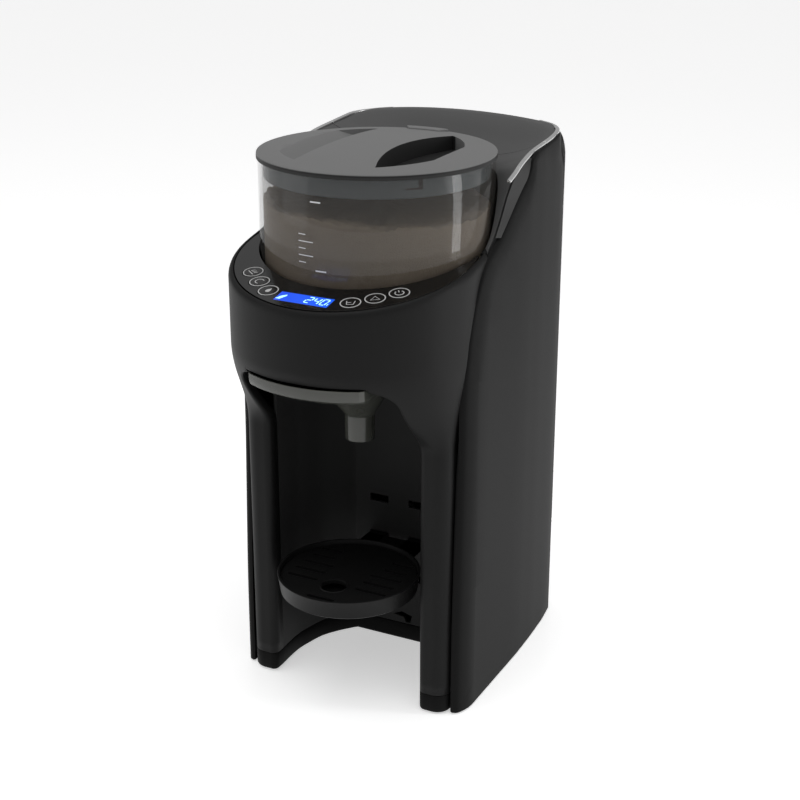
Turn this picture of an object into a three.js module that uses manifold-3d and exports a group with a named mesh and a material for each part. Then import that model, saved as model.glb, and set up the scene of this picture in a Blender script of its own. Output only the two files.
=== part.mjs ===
// Baby formula maker: a worktop machine that doses milk powder from a clear hopper, adds warm water
// from a rear tank in a funnel, and fills a bottle that stands on a drip tray in the front bay.
// Millimetres, +Z up, -Y the front. Places are measured from the hopper's axis, and the last group
// moves the whole part so that its origin is the middle of its footprint, on the worktop.
import * as THREE from "three";
import { mergeVertices } from "three/addons/utils/BufferGeometryUtils.js";
import Module from "manifold-3d";

const wasm = await Module();
wasm.setup();

// Overall size
const overallHeight = 340;
const overallWidth = 157;
const rearReach = 128; // hopper axis to the back of the tank

// Walls and clearances that several pieces share
const seatGap = 0.3;
const slideGap = 0.6;
const overrun = 6; // how far a cutter runs past what it cuts
const shellWall = 3;
const thinWall = 2.2;
const mergeTolerance = 0.001;

// Facets of a full turn
const largeSides = 36;
const mediumSides = 20;
const smallSides = 12;
const tinySides = 8;
const hexSides = 6;
const springSides = 5;

// Hopper and lid
const hopperInset = 5.6; // from the head's outside to the hopper's
const hopperWall = 2.4;
const hopperFootGap = 0.4;
const hopperFloorRise = 12; // from the hopper's foot to its floor
const hopperFloorThickness = 2.4;
const hopperBoreGap = 1.4;
const lidOverhang = 0.9;
const lidUnderDrop = 7; // a drop is measured down from the overall height
const lidEdge = 3;
const lidCrown = 3.8;
const lidPlate = 3;
const lidDomeShares = [0.9, 0.7, 0.45, 0.2]; // radii at which the dome's facets meet
const skirtDepth = 11.5;
const skirtWall = 2.2;
const skirtGap = 0.7;
const gripHalfWidth = 25.4; // middle bar between the two finger recesses
const gripEndInset = 20.3; // from the lid's edge to a recess's ends
const gripDepth = 11;
const gripSideInset = 14.3; // and to its round side
const gasketHeight = 3;
const gasketDepth = 1.2;
const gasketDrop = 6;
const powderDrop = 33;
const powderDip = 2.2;
const powderHeapShares = [0.6, 0.3]; // radii of the powder's highest ring and of its hollow's edge

// Head, pillars and front bay
const headInset = 3.5; // from the side panels' outside to the head's
const headSetback = 25; // centre of the head's round front, ahead of the hopper's axis
const headLowerDrop = 2; // below the head's floor
const headFullRise = 6; // above this the front is the full round head
const headBlend = 63; // height over which the two pillars grow into the head
const pillarFrontY = -47;
const panelGap = 0.4; // between the body and the side panels
const pillarWidth = 22.6;
const pillarDepth = 26;
const pillarRoundness = 3.2;
const headRoundness = 2;
const bayCornerRadius = 22;
const bayTopDrop = 16; // below the head's floor
const linerTuck = 3.4; // how far the bay's wall stands behind the pillars
const linerFrontY = -38.5;
const linerMotorGap = 3.1;
const linerRoundness = 2.5;
const linerWall = 2;
const shellRearY = 0;

// Sloping control ring in front of the hopper
const ringDrop = 69;
const ringSlope = 0.2;
const ringThickness = 2.4;
const ringInset = 3;
const ringRimRise = 0.6;
const keyLength = 12.4;
const keyWidth = 12.4;
const keyThickness = 2;
const keyBand = 11.4; // from the head's bore out to the keys' centres
const firstKeyReach = 25.4; // reaches are measured along the ring from its middle
const secondKeyReach = 38.3;
const thirdKeyReach = 52.1;
const keyRadiusShares = [0.965, 1, 1.045, 1.045, 1, 0.965];
const keyNames = ["key_powder", "key_temperature", "key_amount", "key_units", "key_start", "key_power"];
const displayLength = 34.6;
const displayWidth = 10.8;
const displayBand = 14.8;
const displayThickness = 1.6;
const displayTurn = -0.012;
const boardThickness = 1.6;
const boardDrop = 3.4;
const boardInset = 3.4;
const moduleDepth = 3;

// Base and feet
const footHeight = 1.3;
const baseHeight = 11.4;
const baseFloor = 2.5;
const footRadius = 7;
const footStem = 2.6;
const footStemHeight = 4.4;
const footFrontShare = 0.36; // of the way from the bay's wall to the pillar's side
const footFrontY = -36;
const footRearInset = 19.2;
const footBackInset = 22;

// Side panels, in outline shares of the rear reach and the height
const panelThickness = 4.9;
const panelInnerLayer = 2.4;
const accentWidth = 2;
const accentThickness = 2;

// Rear frame, deck and tank
const frameTopDrop = 78;
const frameTankGap = 4.6;
const tankBoreGap = 5.8; // from the head's bore to the tank
const tankFloorZ = 67.2;
const tankTopDrop = 44;
const tankWall = 2.2;
const tankBaseTopZ = 66.2;
const lidHingeInset = 5.2;
const lidHingeDrop = 37.4;
const lidHingePin = 1.5;
const lidHingeEar = 4;
const lidHingeX = 30;
const lidHollowDrop = 22;
const lidSideFall = 6.3; // crown of the tank's lid, from its middle to its sides
const scoopSideInset = 14.6;
const scoopBackInset = 10;
const scoopDepth = 15;
const scoopBoreGap = 7.2;

// Dosing drive
const outletRadius = 10;
const outletInset = 16; // from the wheel's rim to the powder outlet's middle
const wheelGap = 3;
const wheelRise = 4.1; // from the hopper's foot
const wheelThickness = 7;
const wheelPockets = 6;
const hubRadius = 8;
const socketRadius = 5;
const shaftRadius = 4;
const paddleHeight = 7;
const paddleWidth = 5;
const paddleInset = 6;
const paddleFinShare = 0.55; // where a fin starts along the arm
const seatRise = 16; // from the head's floor
const seatPlateThickness = 2.4;
const seatLegShares = [-0.25, 0.5]; // places along the depth, of the outlet's
const headFloorDrop = 118;
const headFloorThickness = 3;
const headOpeningShare = 2.2; // opening for the powder, of the outlet's radius
const gearOutletGap = 15; // from the gear's pitch circle to the powder outlet's middle
const gearTeeth = 33;
const pinionTeeth = 11;
const gearRise = 7;
const gearThickness = 6;
const toothHeightShares = [-1, 0.8];
const toothWidthShares = [0.62, 0.2];
const meshGap = 0.6;
const motorMargin = 1; // from the pinion's pitch circle out to the motor's side
const motorLength = 38;

// Funnel and nozzle
const funnelWall = 1.8;
const funnelSideGap = 13.2; // from the bay's side to the funnel's
const funnelHang = 2.6; // below the head's floor
const funnelRimThickness = 2.8;
const funnelLipWidth = 3.4;
const funnelBandDepth = 11.4; // depths are measured down from the funnel's rim
const funnelBandInset = 15;
const funnelConeDepth = 29.4;
const funnelConeInset = 13.4; // from the funnel's side to its cone
const funnelConeY = -29;
const funnelNeckDepth = 42.4;
const funnelNeckWidth = 3.6; // from the outlet's outside to the neck's
const funnelOutletRadius = 9;
const funnelOutletDepth = 59;
const bottleY = -24;
const funnelRearY = -6;
const railWidth = 2.4;
const railLip = 3;
const nozzleMotorGap = 3; // between the motor and the nozzle beside it
const nozzleDepth = 6;
const nozzleRadius = 3;
const nozzleBore = 1.6;
const nozzleTipY = -14;

// Drip tray
const trayY = -40;
const traySideGap = 6.4; // from the bay's side to the tray
const trayTaper = 1.8;
const trayTopZ = 82.1;
const trayFootZ = 70.4;
const trayWall = 1.8;
const gridThickness = 2.2;
const gridInset = 3;
const gridSlotWidth = 2.6;
const gridSlotLengthShare = 0.43; // shares of the tray's radius
const gridSlotStepShare = 0.23;
const gridSlotPlaceShare = 0.52;
const gridHoleShare = 0.19;
const gridHolePlaceShare = 0.43;
const hookWidth = 12;
const hookHeight = 3.6;
const hookX = 14;

// Water path
const pumpRadius = 13;
const pumpSideGap = 14.2; // from the frame's side wall to the pump
const heaterWidth = 30;
const heaterSideGap = 16.2;
const heaterDrop = 81; // from the nozzle down to the heater's top
const tubeRadius = 2.6;
const glandRadius = 5.2;
const valveX = 30;
const valvePlaceShare = 0.455; // of the way from the tank's front to its back
const valveHole = 6;
const valveDisc = 8.4;
const valveStem = 2.2;
const valveLift = 3;
const springRadius = 4.4;
const springWire = 0.5;
const springTurns = 4;
const springLength = 10;

// Fasteners
const screwHeadRadius = 3;
const screwRadius = 1.5;
const screwLength = 9;

const mix = (a, b, share) => a + (b - a) * share;

// Widths and radii, from the outside in
const halfWidth = overallWidth / 2;
const panelInnerX = halfWidth - panelThickness;
const panelMidX = panelInnerX + panelInnerLayer;
const pillarHalfWidth = panelInnerX - panelGap;
const tankHalfWidth = pillarHalfWidth - slideGap;
const headRadius = halfWidth - headInset;
const headFrontY = -headRadius - headSetback;
const hopperRadius = headRadius - hopperInset;
const hopperInner = hopperRadius - hopperWall;
const boreRadius = hopperRadius + hopperBoreGap;
const lidRadius = hopperRadius + lidOverhang;
const gripHalfLength = lidRadius - gripEndInset;
const gripReach = lidRadius - gripSideInset;
const wheelRadius = hopperInner - wheelGap;
const paddleReach = wheelRadius - paddleInset;
const outletY = outletInset - wheelRadius;
const gearModule = (2 * (-outletY - gearOutletGap)) / gearTeeth;
const pinionY = (gearModule * (gearTeeth + pinionTeeth)) / 2 + meshGap;
const motorRadius = (gearModule * pinionTeeth) / 2 + motorMargin;
const pillarInnerX = pillarHalfWidth - pillarWidth;
const linerHalfWidth = pillarInnerX + linerTuck;
const linerBackY = pinionY - motorRadius - linerMotorGap - linerWall;
const funnelHalfWidth = pillarInnerX - funnelSideGap;
const funnelConeRadius = funnelHalfWidth - funnelConeInset;
const funnelNeckRadius = funnelOutletRadius + funnelNeckWidth;
const nozzleX = motorRadius + nozzleMotorGap + nozzleRadius;
const trayRadius = pillarInnerX - traySideGap;
const trayFootRadius = trayRadius - trayTaper;
const pumpX = -(pillarHalfWidth - shellWall - pumpSideGap - pumpRadius);
const heaterX = pillarHalfWidth - shellWall - heaterSideGap - heaterWidth / 2;
const footFrontX = mix(linerHalfWidth, pillarHalfWidth, footFrontShare);
const footRearX = pillarHalfWidth - footRearInset;
const glandX = -footRearX / 2;
const ringRadius = headRadius - ringInset;
const ringSetback = headSetback - slideGap;
const keyRadius = boreRadius + keyBand;
const keyReaches = [firstKeyReach, secondKeyReach, thirdKeyReach];
const rightKeyAngles = keyReaches.map((reach) => reach / keyRadius);
const keyAngles = [...rightKeyAngles.map((turn) => -turn).reverse(), ...rightKeyAngles];
const displayRadius = boreRadius + displayBand;

// Places along the depth, from the hopper's bore to the back
const tankFrontY = boreRadius + tankBoreGap;
const frameBackY = tankFrontY - frameTankGap;
const valveY = mix(tankFrontY, rearReach, valvePlaceShare);
const lidHingeY = rearReach - lidHingeInset;
const footRearY = rearReach - footBackInset;
const scoopY = boreRadius + scoopBoreGap;
const scoopHalfLength = rearReach - scoopBackInset - scoopY;
const scoopHalfWidth = tankHalfWidth - scoopSideInset;

// Heights, from the head's floor or down from the top
const baseTopZ = footHeight + baseHeight;
const shellFootZ = baseTopZ + seatGap;
const headFloorZ = overallHeight - headFloorDrop;
const headLowerZ = headFloorZ - headLowerDrop;
const headFullZ = headFloorZ + headFullRise;
const pillarTopZ = headFullZ - headBlend;
const bayTopZ = headFloorZ - bayTopDrop;
const gearZ = headFloorZ + gearRise;
const seatPlateZ = headFloorZ + seatRise;
const hopperFootZ = seatPlateZ + seatPlateThickness + hopperFootGap;
const hopperFloorZ = hopperFootZ + hopperFloorRise;
const wheelZ = hopperFootZ + wheelRise;
const lidUnderZ = overallHeight - lidUnderDrop;
const hopperRimZ = lidUnderZ - seatGap;
const powderTopZ = overallHeight - powderDrop;
const ringFrontZ = overallHeight - ringDrop;
const frameTopZ = overallHeight - frameTopDrop;
const tankTopZ = overallHeight - tankTopDrop;
const lidHingeZ = overallHeight - lidHingeDrop;
const lidHollowTopZ = overallHeight - lidHollowDrop;
const funnelRimZ = headFloorZ - funnelHang;
const funnelBandZ = funnelRimZ - funnelBandDepth;
const funnelConeZ = funnelRimZ - funnelConeDepth;
const funnelNeckZ = funnelRimZ - funnelNeckDepth;
const funnelOutletZ = funnelRimZ - funnelOutletDepth;
const nozzleZ = funnelRimZ - nozzleDepth;
const heaterTop = nozzleZ - heaterDrop;
const glandZ = tankBaseTopZ / 2;

// Drip grid, from the tray's radius
const gridSlotLength = trayRadius * gridSlotLengthShare;
const gridSlotStep = trayRadius * gridSlotStepShare;
const gridSlotX = trayRadius * gridSlotPlaceShare;
const gridHoleRadius = trayRadius * gridHoleShare;
const gridHoleY = trayY - trayRadius * gridHolePlaceShare;

// Outlines in shares: across of the half width, along of the rear reach
const planShares = [
  [1, 0.35], [0.99, 0.52], [0.975, 0.68], [0.962, 0.8], [0.93, 0.885],
  [0.86, 0.945], [0.74, 0.98], [0.5, 0.995], [0, 1],
];
// Along of the rear reach, up of the height: the front edge of a panel, from its foot to its crest
const panelFrontShares = [
  [-0.33, 0], [-0.33, 0.05], [-0.325, 0.16], [-0.318, 0.33], [-0.308, 0.5],
  [-0.295, 0.58], [-0.268, 0.64], [-0.237, 0.703], [-0.195, 0.76], [-0.146, 0.799], [-0.08, 0.824],
];
const panelCrestShares = [
  [0.04, 0.862], [0.13, 0.889], [0.2, 0.908], [0.28, 0.923], [0.35, 0.938], [0.38, 0.952], [0.36, 0.968],
];
const innerCrestShares = [
  [0.0, 0.832], [0.045, 0.85], [0.09, 0.878], [0.13, 0.902], [0.165, 0.925], [0.21, 0.942], [0.29, 0.956],
];
const topEdgeShares = [
  [0.38, 0.967], [0.44, 0.973], [0.58, 0.977], [0.72, 0.981], [0.82, 0.985], [0.89, 0.982],
];
const rearTopShares = [[0.922, 0.965], [0.922, 0]];
const lidTopShares = [
  [0.6, 0.968], [0.78, 0.976], [0.87, 0.987], [0.92, 0.998], [0.955, 1], [0.985, 0.994], [1, 0.97],
];

// Materials
const finish = (color, roughness, metalness = 0, opacity = 1) =>
  new THREE.MeshStandardMaterial({ color, roughness, metalness, opacity, transparent: opacity < 1 });
const matteBlack = finish(0x1b1b1d, 0.62);
const satinBlack = finish(0x232326, 0.5);
const glossBlack = finish(0x08080a, 0.08);
const keyBlack = finish(0x101012, 0.25);
const lidGrey = finish(0x3a3b3d, 0.45);
const silver = finish(0xc9cacc, 0.3, 0.9);
const smokeClear = finish(0x5a544e, 0.1, 0, 0.45);
const smokeFunnel = finish(0x77786f, 0.25, 0, 0.7);
const milkPowder = finish(0xcdbfa4, 0.95);
const silicone = finish(0x8b979d, 0.6);
const whitePlastic = finish(0xe6e6e2, 0.5);
const steel = finish(0xa9abad, 0.35, 0.9);
const boardGreen = finish(0x1d5b39, 0.5);
const displayBlue = finish(0x2c55ff, 0.15);
const rubber = finish(0x141414, 0.9);

// A closed geometry as a solid, turned the right way out
function solid(geometry) {
  const open = geometry.clone();
  open.deleteAttribute("normal");
  open.deleteAttribute("uv");
  const merged = mergeVertices(open, mergeTolerance);
  const index = merged.index.array;
  const kept = [];
  for (let i = 0; i < index.length; i += 3) {
    const [a, b, c] = index.slice(i, i + 3);
    if (a !== b && b !== c && a !== c) kept.push(a, b, c);
  }
  const build = (triVerts) =>
    new wasm.Manifold(
      new wasm.Mesh({ numProp: 3, vertProperties: merged.attributes.position.array, triVerts }),
    );
  const made = build(new Uint32Array(kept));
  return made.volume() < 0 ? build(new Uint32Array(kept.reverse())) : made;
}

const join = (first, ...rest) => rest.reduce((whole, piece) => whole.add(piece), first);
const cut = (first, ...rest) => rest.reduce((whole, piece) => whole.subtract(piece), first);

const box = (x0, x1, y0, y1, z0, z1) =>
  solid(
    new THREE.BoxGeometry(x1 - x0, y1 - y0, z1 - z0)
      .translate((x0 + x1) / 2, (y0 + y1) / 2, (z0 + z1) / 2),
  );

const rod = (radius, z0, z1, x = 0, y = 0, sides = mediumSides) =>
  solid(
    new THREE.CylinderGeometry(radius, radius, z1 - z0, sides)
      .rotateX(Math.PI / 2)
      .translate(x, y, (z0 + z1) / 2),
  );

const rodAlongX = (radius, x0, x1, y, z, sides = smallSides) =>
  solid(
    new THREE.CylinderGeometry(radius, radius, x1 - x0, sides)
      .rotateZ(Math.PI / 2)
      .translate((x0 + x1) / 2, y, z),
  );

const rodAlongY = (radius, y0, y1, x, z, sides = smallSides) =>
  solid(new THREE.CylinderGeometry(radius, radius, y1 - y0, sides).translate(x, (y0 + y1) / 2, z));

// A profile of [radius, height] points turned about the vertical through x, y
const turned = (profile, sides = mediumSides, x = 0, y = 0) =>
  solid(
    new THREE.LatheGeometry(profile.map(([r, z]) => new THREE.Vector2(r, z)), sides)
      .rotateX(Math.PI / 2)
      .translate(x, y, 0),
  );

const shapeOf = (points) => new THREE.Shape(points.map(([a, b]) => new THREE.Vector2(a, b)));
const slab = (points, depth) => new THREE.ExtrudeGeometry(shapeOf(points), { depth, bevelEnabled: false });

const prism = (points, z0, z1) => solid(slab(points, z1 - z0).translate(0, 0, z0));
const prismAlongX = (points, x0, x1) =>
  solid(
    slab(points, x1 - x0)
      .applyMatrix4(new THREE.Matrix4().set(0, 0, 1, 0, 1, 0, 0, 0, 0, 1, 0, 0, 0, 0, 0, 1))
      .translate(x0, 0, 0),
  );
const prismAlongY = (points, y0, y1) =>
  solid(slab(points, y1 - y0).rotateX(Math.PI / 2).translate(0, y1, 0));

// A round tube along a curve
function tubeAlong(points, radius, sides = tinySides, steps = points.length * 3) {
  const curve = new THREE.CatmullRomCurve3(points.map((p) => new THREE.Vector3(...p)));
  const ring = Array.from({ length: sides }, (_, i) => {
    const turn = (i / sides) * 2 * Math.PI;
    return [radius * Math.cos(turn), radius * Math.sin(turn)];
  });
  return solid(new THREE.ExtrudeGeometry(shapeOf(ring), { steps, extrudePath: curve, bevelEnabled: false }));
}

// A closed skin over rings of equal length, each ring star shaped about its own middle
function loft(rings) {
  const count = rings[0].length;
  const points = rings.flat();
  const middles = [rings[0], rings[rings.length - 1]].map((ring) =>
    ring.reduce((sum, p) => sum.add(p), new THREE.Vector3()).divideScalar(count),
  );
  const index = [];
  for (let level = 0; level < rings.length - 1; level += 1) {
    for (let i = 0; i < count; i += 1) {
      const a = level * count + i;
      const b = level * count + ((i + 1) % count);
      index.push(a, b, b + count, a, b + count, a + count);
    }
  }
  const top = (rings.length - 1) * count;
  for (let i = 0; i < count; i += 1) {
    const next = (i + 1) % count;
    index.push(points.length, next, i, points.length + 1, top + i, top + next);
  }
  const places = [...points, ...middles].flatMap((p) => [p.x, p.y, p.z]);
  return solid(
    new THREE.BufferGeometry()
      .setAttribute("position", new THREE.Float32BufferAttribute(places, 3))
      .setIndex(index),
  );
}

const root = new THREE.Group();
const machine = new THREE.Group();
machine.position.y = -(headFrontY + rearReach) / 2;
root.add(machine);

// One named mesh of the machine
function piece(name, body, material) {
  const mesh = body.getMesh();
  const geometry = new THREE.BufferGeometry()
    .setAttribute("position", new THREE.BufferAttribute(mesh.vertProperties, 3))
    .setIndex(new THREE.BufferAttribute(mesh.triVerts, 1));
  geometry.computeVertexNormals();
  const made = new THREE.Mesh(geometry, material);
  made.name = name;
  machine.add(made);
}

// Plan of the rear: straight front edge, sides kept within a half width, rounded back corners
function rearPlan(half, frontY, inset) {
  const right = planShares
    .map(([across, along]) => [across * (halfWidth - inset), along * (rearReach - inset)])
    .map(([x, y]) => [Math.min(x, half), y])
    .filter(([, y]) => y > frontY);
  const left = right.slice(0, -1).reverse().map(([x, y]) => [-x, y]);
  return [[-half, frontY], [half, frontY], ...right, ...left];
}

// Plan of the front at one height: a half superellipse with straight sides behind it
function frontRing(half, frontY, depth, roundness, rearY, z) {
  const steps = largeSides / 2;
  const ring = [];
  for (let i = 0; i <= steps; i += 1) {
    const turn = -Math.PI + (i / steps) * Math.PI;
    const along = Math.abs(Math.cos(turn)) ** (2 / roundness) * Math.sign(Math.cos(turn));
    const ahead = Math.abs(Math.sin(turn)) ** (2 / roundness);
    ring.push(new THREE.Vector3(half * along, frontY + depth - depth * ahead, z));
  }
  ring.push(new THREE.Vector3(half, rearY, z), new THREE.Vector3(-half, rearY, z));
  return ring;
}

// The front body from foot to ring, drawn in by inset on all sides but the back
function frontBody(inset, footZ, topZ, rearY) {
  const steps = tinySides;
  const heights = Array.from({ length: steps + 1 }, (_, i) => mix(pillarTopZ, headFullZ, i / steps));
  return loft(
    [footZ, ...heights.filter((z) => z > footZ), topZ].map((z) => {
      const share = THREE.MathUtils.smoothstep(z, pillarTopZ, headFullZ);
      return frontRing(
        mix(pillarHalfWidth, headRadius, share) - inset,
        mix(pillarFrontY, headFrontY, share) + inset,
        mix(pillarDepth, headRadius, share) - inset,
        mix(pillarRoundness, headRoundness, share),
        rearY,
        z,
      );
    }),
  );
}

// Height of the sloping ring's upper face
const ringZ = (y) => ringFrontZ + ringSlope * (y + boreRadius);
const aboveRing = (lift, x = halfWidth + overrun) =>
  prismAlongX(
    [
      [headFrontY - overrun, ringZ(headFrontY - overrun) + lift],
      [rearReach, ringZ(rearReach) + lift],
      [rearReach, overallHeight + rearReach],
      [headFrontY - overrun, overallHeight + rearReach],
    ],
    -x,
    x,
  );

const sideProfile = (shares) => shares.map(([along, up]) => [along * rearReach, up * overallHeight]);
const outerPanelProfile = sideProfile([
  ...panelFrontShares, ...panelCrestShares, ...topEdgeShares, ...rearTopShares,
]);
const innerPanelProfile = sideProfile([
  ...panelFrontShares.slice(0, -1), ...innerCrestShares, ...topEdgeShares, ...rearTopShares,
]);
const bayArch = (() => {
  const points = [[-pillarInnerX, -overrun], [pillarInnerX, -overrun]];
  const steps = smallSides / 2;
  for (let i = 0; i <= steps; i += 1) {
    const turn = (i / steps) * (Math.PI / 2);
    points.push([
      pillarInnerX - bayCornerRadius + bayCornerRadius * Math.cos(turn),
      bayTopZ - bayCornerRadius + bayCornerRadius * Math.sin(turn),
    ]);
  }
  for (let i = steps; i >= 0; i -= 1) {
    const [x, z] = points[2 + i];
    points.push([-x, z]);
  }
  return points;
})();

// Shell of the head and the two pillars
function makeFrontShell() {
  const outer = frontBody(0, shellFootZ, overallHeight, shellRearY);
  const inner = frontBody(shellWall, shellFootZ - overrun, overallHeight + overrun, shellRearY + overrun);
  const bay = prismAlongY(bayArch, headFrontY - overrun, shellRearY + overrun);
  const mouth = box(
    -funnelHalfWidth - slideGap,
    funnelHalfWidth + slideGap,
    headFrontY - overrun,
    funnelConeY,
    pillarTopZ,
    headLowerZ,
  );
  const front = outerPanelProfile.map(([y, z]) => [y - seatGap, z]);
  const panelRoom = [-1, 1].map((side) => {
    const [a, b] = [side * (panelInnerX - seatGap), side * (halfWidth + overrun)].sort((p, q) => p - q);
    return prismAlongX(front, a, b);
  });
  piece("front_shell", cut(outer, inner, bay, mouth, aboveRing(ringRimRise), ...panelRoom), matteBlack);
}

// Wall of the bay, a rounded U in plan
function linerOutline(offset) {
  const steps = smallSides * 2;
  const points = [];
  for (let i = 0; i <= steps; i += 1) {
    const turn = (i / steps) * Math.PI;
    const across = Math.abs(Math.cos(turn)) ** (2 / linerRoundness) * Math.sign(Math.cos(turn));
    const along = Math.sin(turn) ** (2 / linerRoundness);
    points.push([
      (linerHalfWidth + offset) * across,
      linerFrontY + (linerBackY - linerFrontY + offset) * along,
    ]);
  }
  return points;
}

function makeBayLiner() {
  const top = headFloorZ - seatGap;
  const outer = prism(linerOutline(linerWall), shellFootZ, top);
  const outline = linerOutline(0);
  const first = outline[0];
  const last = outline[outline.length - 1];
  const inner = prism(
    [[last[0], linerFrontY - overrun], [first[0], linerFrontY - overrun], ...outline],
    shellFootZ - overrun,
    top + overrun,
  );
  const hooks = [-1, 1].map((side) =>
    box(
      side * hookX - hookWidth / 2 - slideGap,
      side * hookX + hookWidth / 2 + slideGap,
      linerBackY - overrun * 2,
      linerBackY + overrun,
      trayFootZ + trayWall,
      trayFootZ + trayWall + hookHeight + 2 * slideGap,
    ),
  );
  const [pipeStart, pipeEnd] = [linerBackY - overrun * 2, linerBackY + overrun];
  const pipe = rodAlongY(nozzleRadius + seatGap, pipeStart, pipeEnd, nozzleX, nozzleZ);
  piece("bay_liner", cut(outer, inner, ...hooks, pipe), matteBlack);
}

// Open tray that carries the pillars, the frame and the rubber feet
function makeBase() {
  const pillarPlan = frontRing(pillarHalfWidth, pillarFrontY, pillarDepth, pillarRoundness, shellRearY, 0)
    .map((p) => [p.x, p.y]);
  const front = prism(pillarPlan, footHeight, baseTopZ);
  const rear = prism(rearPlan(pillarHalfWidth, shellRearY - overrun, seatGap), footHeight, baseTopZ);
  const bayPlan = [
    ...linerOutline(0),
    [-pillarInnerX, linerFrontY],
    [-pillarInnerX, pillarFrontY - overrun],
    [pillarInnerX, pillarFrontY - overrun],
    [pillarInnerX, linerFrontY],
  ];
  const bay = prism(bayPlan, -overrun, baseTopZ + overrun);
  const hollow = prism(
    rearPlan(pillarHalfWidth - shellWall, linerBackY + shellWall, shellWall),
    footHeight + baseFloor,
    baseTopZ + overrun,
  );
  const stems = footPlaces().map(([x, y]) =>
    rod(footStem + seatGap, -overrun, footHeight + footStemHeight + seatGap, x, y, smallSides),
  );
  const screws = screwPlaces().map(([x, y]) =>
    rod(screwRadius + seatGap, footHeight, baseTopZ, x, y, tinySides)
      .add(rod(screwHeadRadius + seatGap, -overrun, footHeight + baseFloor, x, y, tinySides)),
  );
  piece("base_frame", cut(join(front, rear), bay, hollow, ...stems, ...screws), satinBlack);
}

function footPlaces() {
  return [
    [-footFrontX, footFrontY],
    [footFrontX, footFrontY],
    [-footRearX, footRearY],
    [footRearX, footRearY],
  ];
}

// Case screws stand beside the feet, one to a corner
function screwPlaces() {
  const step = footRadius + screwHeadRadius * 2;
  return footPlaces().map(([x, y]) => [x, y + Math.sign(linerFrontY / 2 - y) * step]);
}

function makeFeet() {
  const names = ["foot_front_left", "foot_front_right", "foot_rear_left", "foot_rear_right"];
  footPlaces().forEach(([x, y], i) => {
    const pad = rod(footRadius, 0, footHeight - seatGap, x, y, smallSides);
    const stem = rod(footStem, footHeight - seatGap * 2, footHeight + footStemHeight, x, y, smallSides);
    piece(names[i], join(pad, stem), rubber);
  });
}

function makeScrews() {
  screwPlaces().forEach(([x, y], i) => {
    const headZ = footHeight + baseFloor - seatGap;
    const head = rod(screwHeadRadius, footHeight, headZ, x, y, tinySides);
    const shank = rod(screwRadius, headZ - seatGap, headZ + screwLength - seatGap, x, y, tinySides);
    piece(`case_screw_${i + 1}`, join(head, shank), steel);
  });
}

// Side panels, each in two layers, and the bright strips let into their upper inner edges
function makeSide(side, name) {
  const span = (a, b) => [side * a, side * b].sort((p, q) => p - q);
  const plan = prism(rearPlan(halfWidth, headFrontY, 0), footHeight - slideGap, overallHeight + overrun);
  const outer = prismAlongX(outerPanelProfile, ...span(panelMidX - seatGap, halfWidth));
  const inner = prismAlongX(innerPanelProfile, ...span(panelInnerX, panelMidX));
  const edge = sideProfile([...innerCrestShares.slice(4), ...topEdgeShares]);
  const band = (drop, grow) => [
    ...edge.map(([y, z]) => [y, z + grow]),
    ...edge.slice().reverse().map(([y, z]) => [y, z - drop]),
  ];
  const strip = prismAlongX(band(accentThickness, 0), ...span(panelInnerX, panelInnerX + accentWidth));
  const rebate = prismAlongX(
    band(accentThickness + seatGap, overrun),
    ...span(panelInnerX - overrun, panelInnerX + accentWidth + seatGap),
  );
  const ends = box(
    ...span(panelInnerX - overrun, panelInnerX + accentWidth + seatGap),
    edge[0][0] - seatGap,
    edge[0][0] + seatGap,
    edge[0][1] - accentThickness - seatGap,
    edge[0][1] + overrun,
  );
  const back = edge[edge.length - 1];
  const backEnd = box(
    ...span(panelInnerX - overrun, panelInnerX + accentWidth + seatGap),
    back[0] - seatGap,
    back[0] + seatGap,
    back[1] - accentThickness - seatGap,
    back[1] + overrun,
  );
  piece(`${name}_side_panel`, cut(join(outer, inner).intersect(plan), rebate, ends, backEnd), satinBlack);
  piece(`${name}_accent_strip`, strip, silver);
}

// Frame behind the bay: side walls, back wall and a window low down for the water tube
function makeRearFrame() {
  const y0 = shellRearY + seatGap;
  const outer = box(-pillarHalfWidth, pillarHalfWidth, y0, frameBackY + shellWall, shellFootZ, frameTopZ);
  const inner = box(
    -pillarHalfWidth + shellWall,
    pillarHalfWidth - shellWall,
    y0 - overrun,
    frameBackY,
    shellFootZ - overrun,
    frameTopZ + overrun,
  );
  const window = box(
    -pillarHalfWidth + shellWall,
    pillarHalfWidth - shellWall,
    frameBackY - overrun,
    frameBackY + overrun,
    shellFootZ - overrun,
    tankBaseTopZ - shellWall,
  );
  const bore = rod(boreRadius, hopperFootZ - overrun, overallHeight, 0, 0, largeSides);
  piece("rear_frame", cut(outer, inner, window, bore), satinBlack);
}

const scoop = () =>
  solid(
    new THREE.SphereGeometry(1, mediumSides, smallSides)
      .rotateX(Math.PI / 2)
      .scale(scoopHalfWidth, scoopHalfLength, scoopDepth)
      .translate(0, scoopY, overallHeight),
  );

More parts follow.
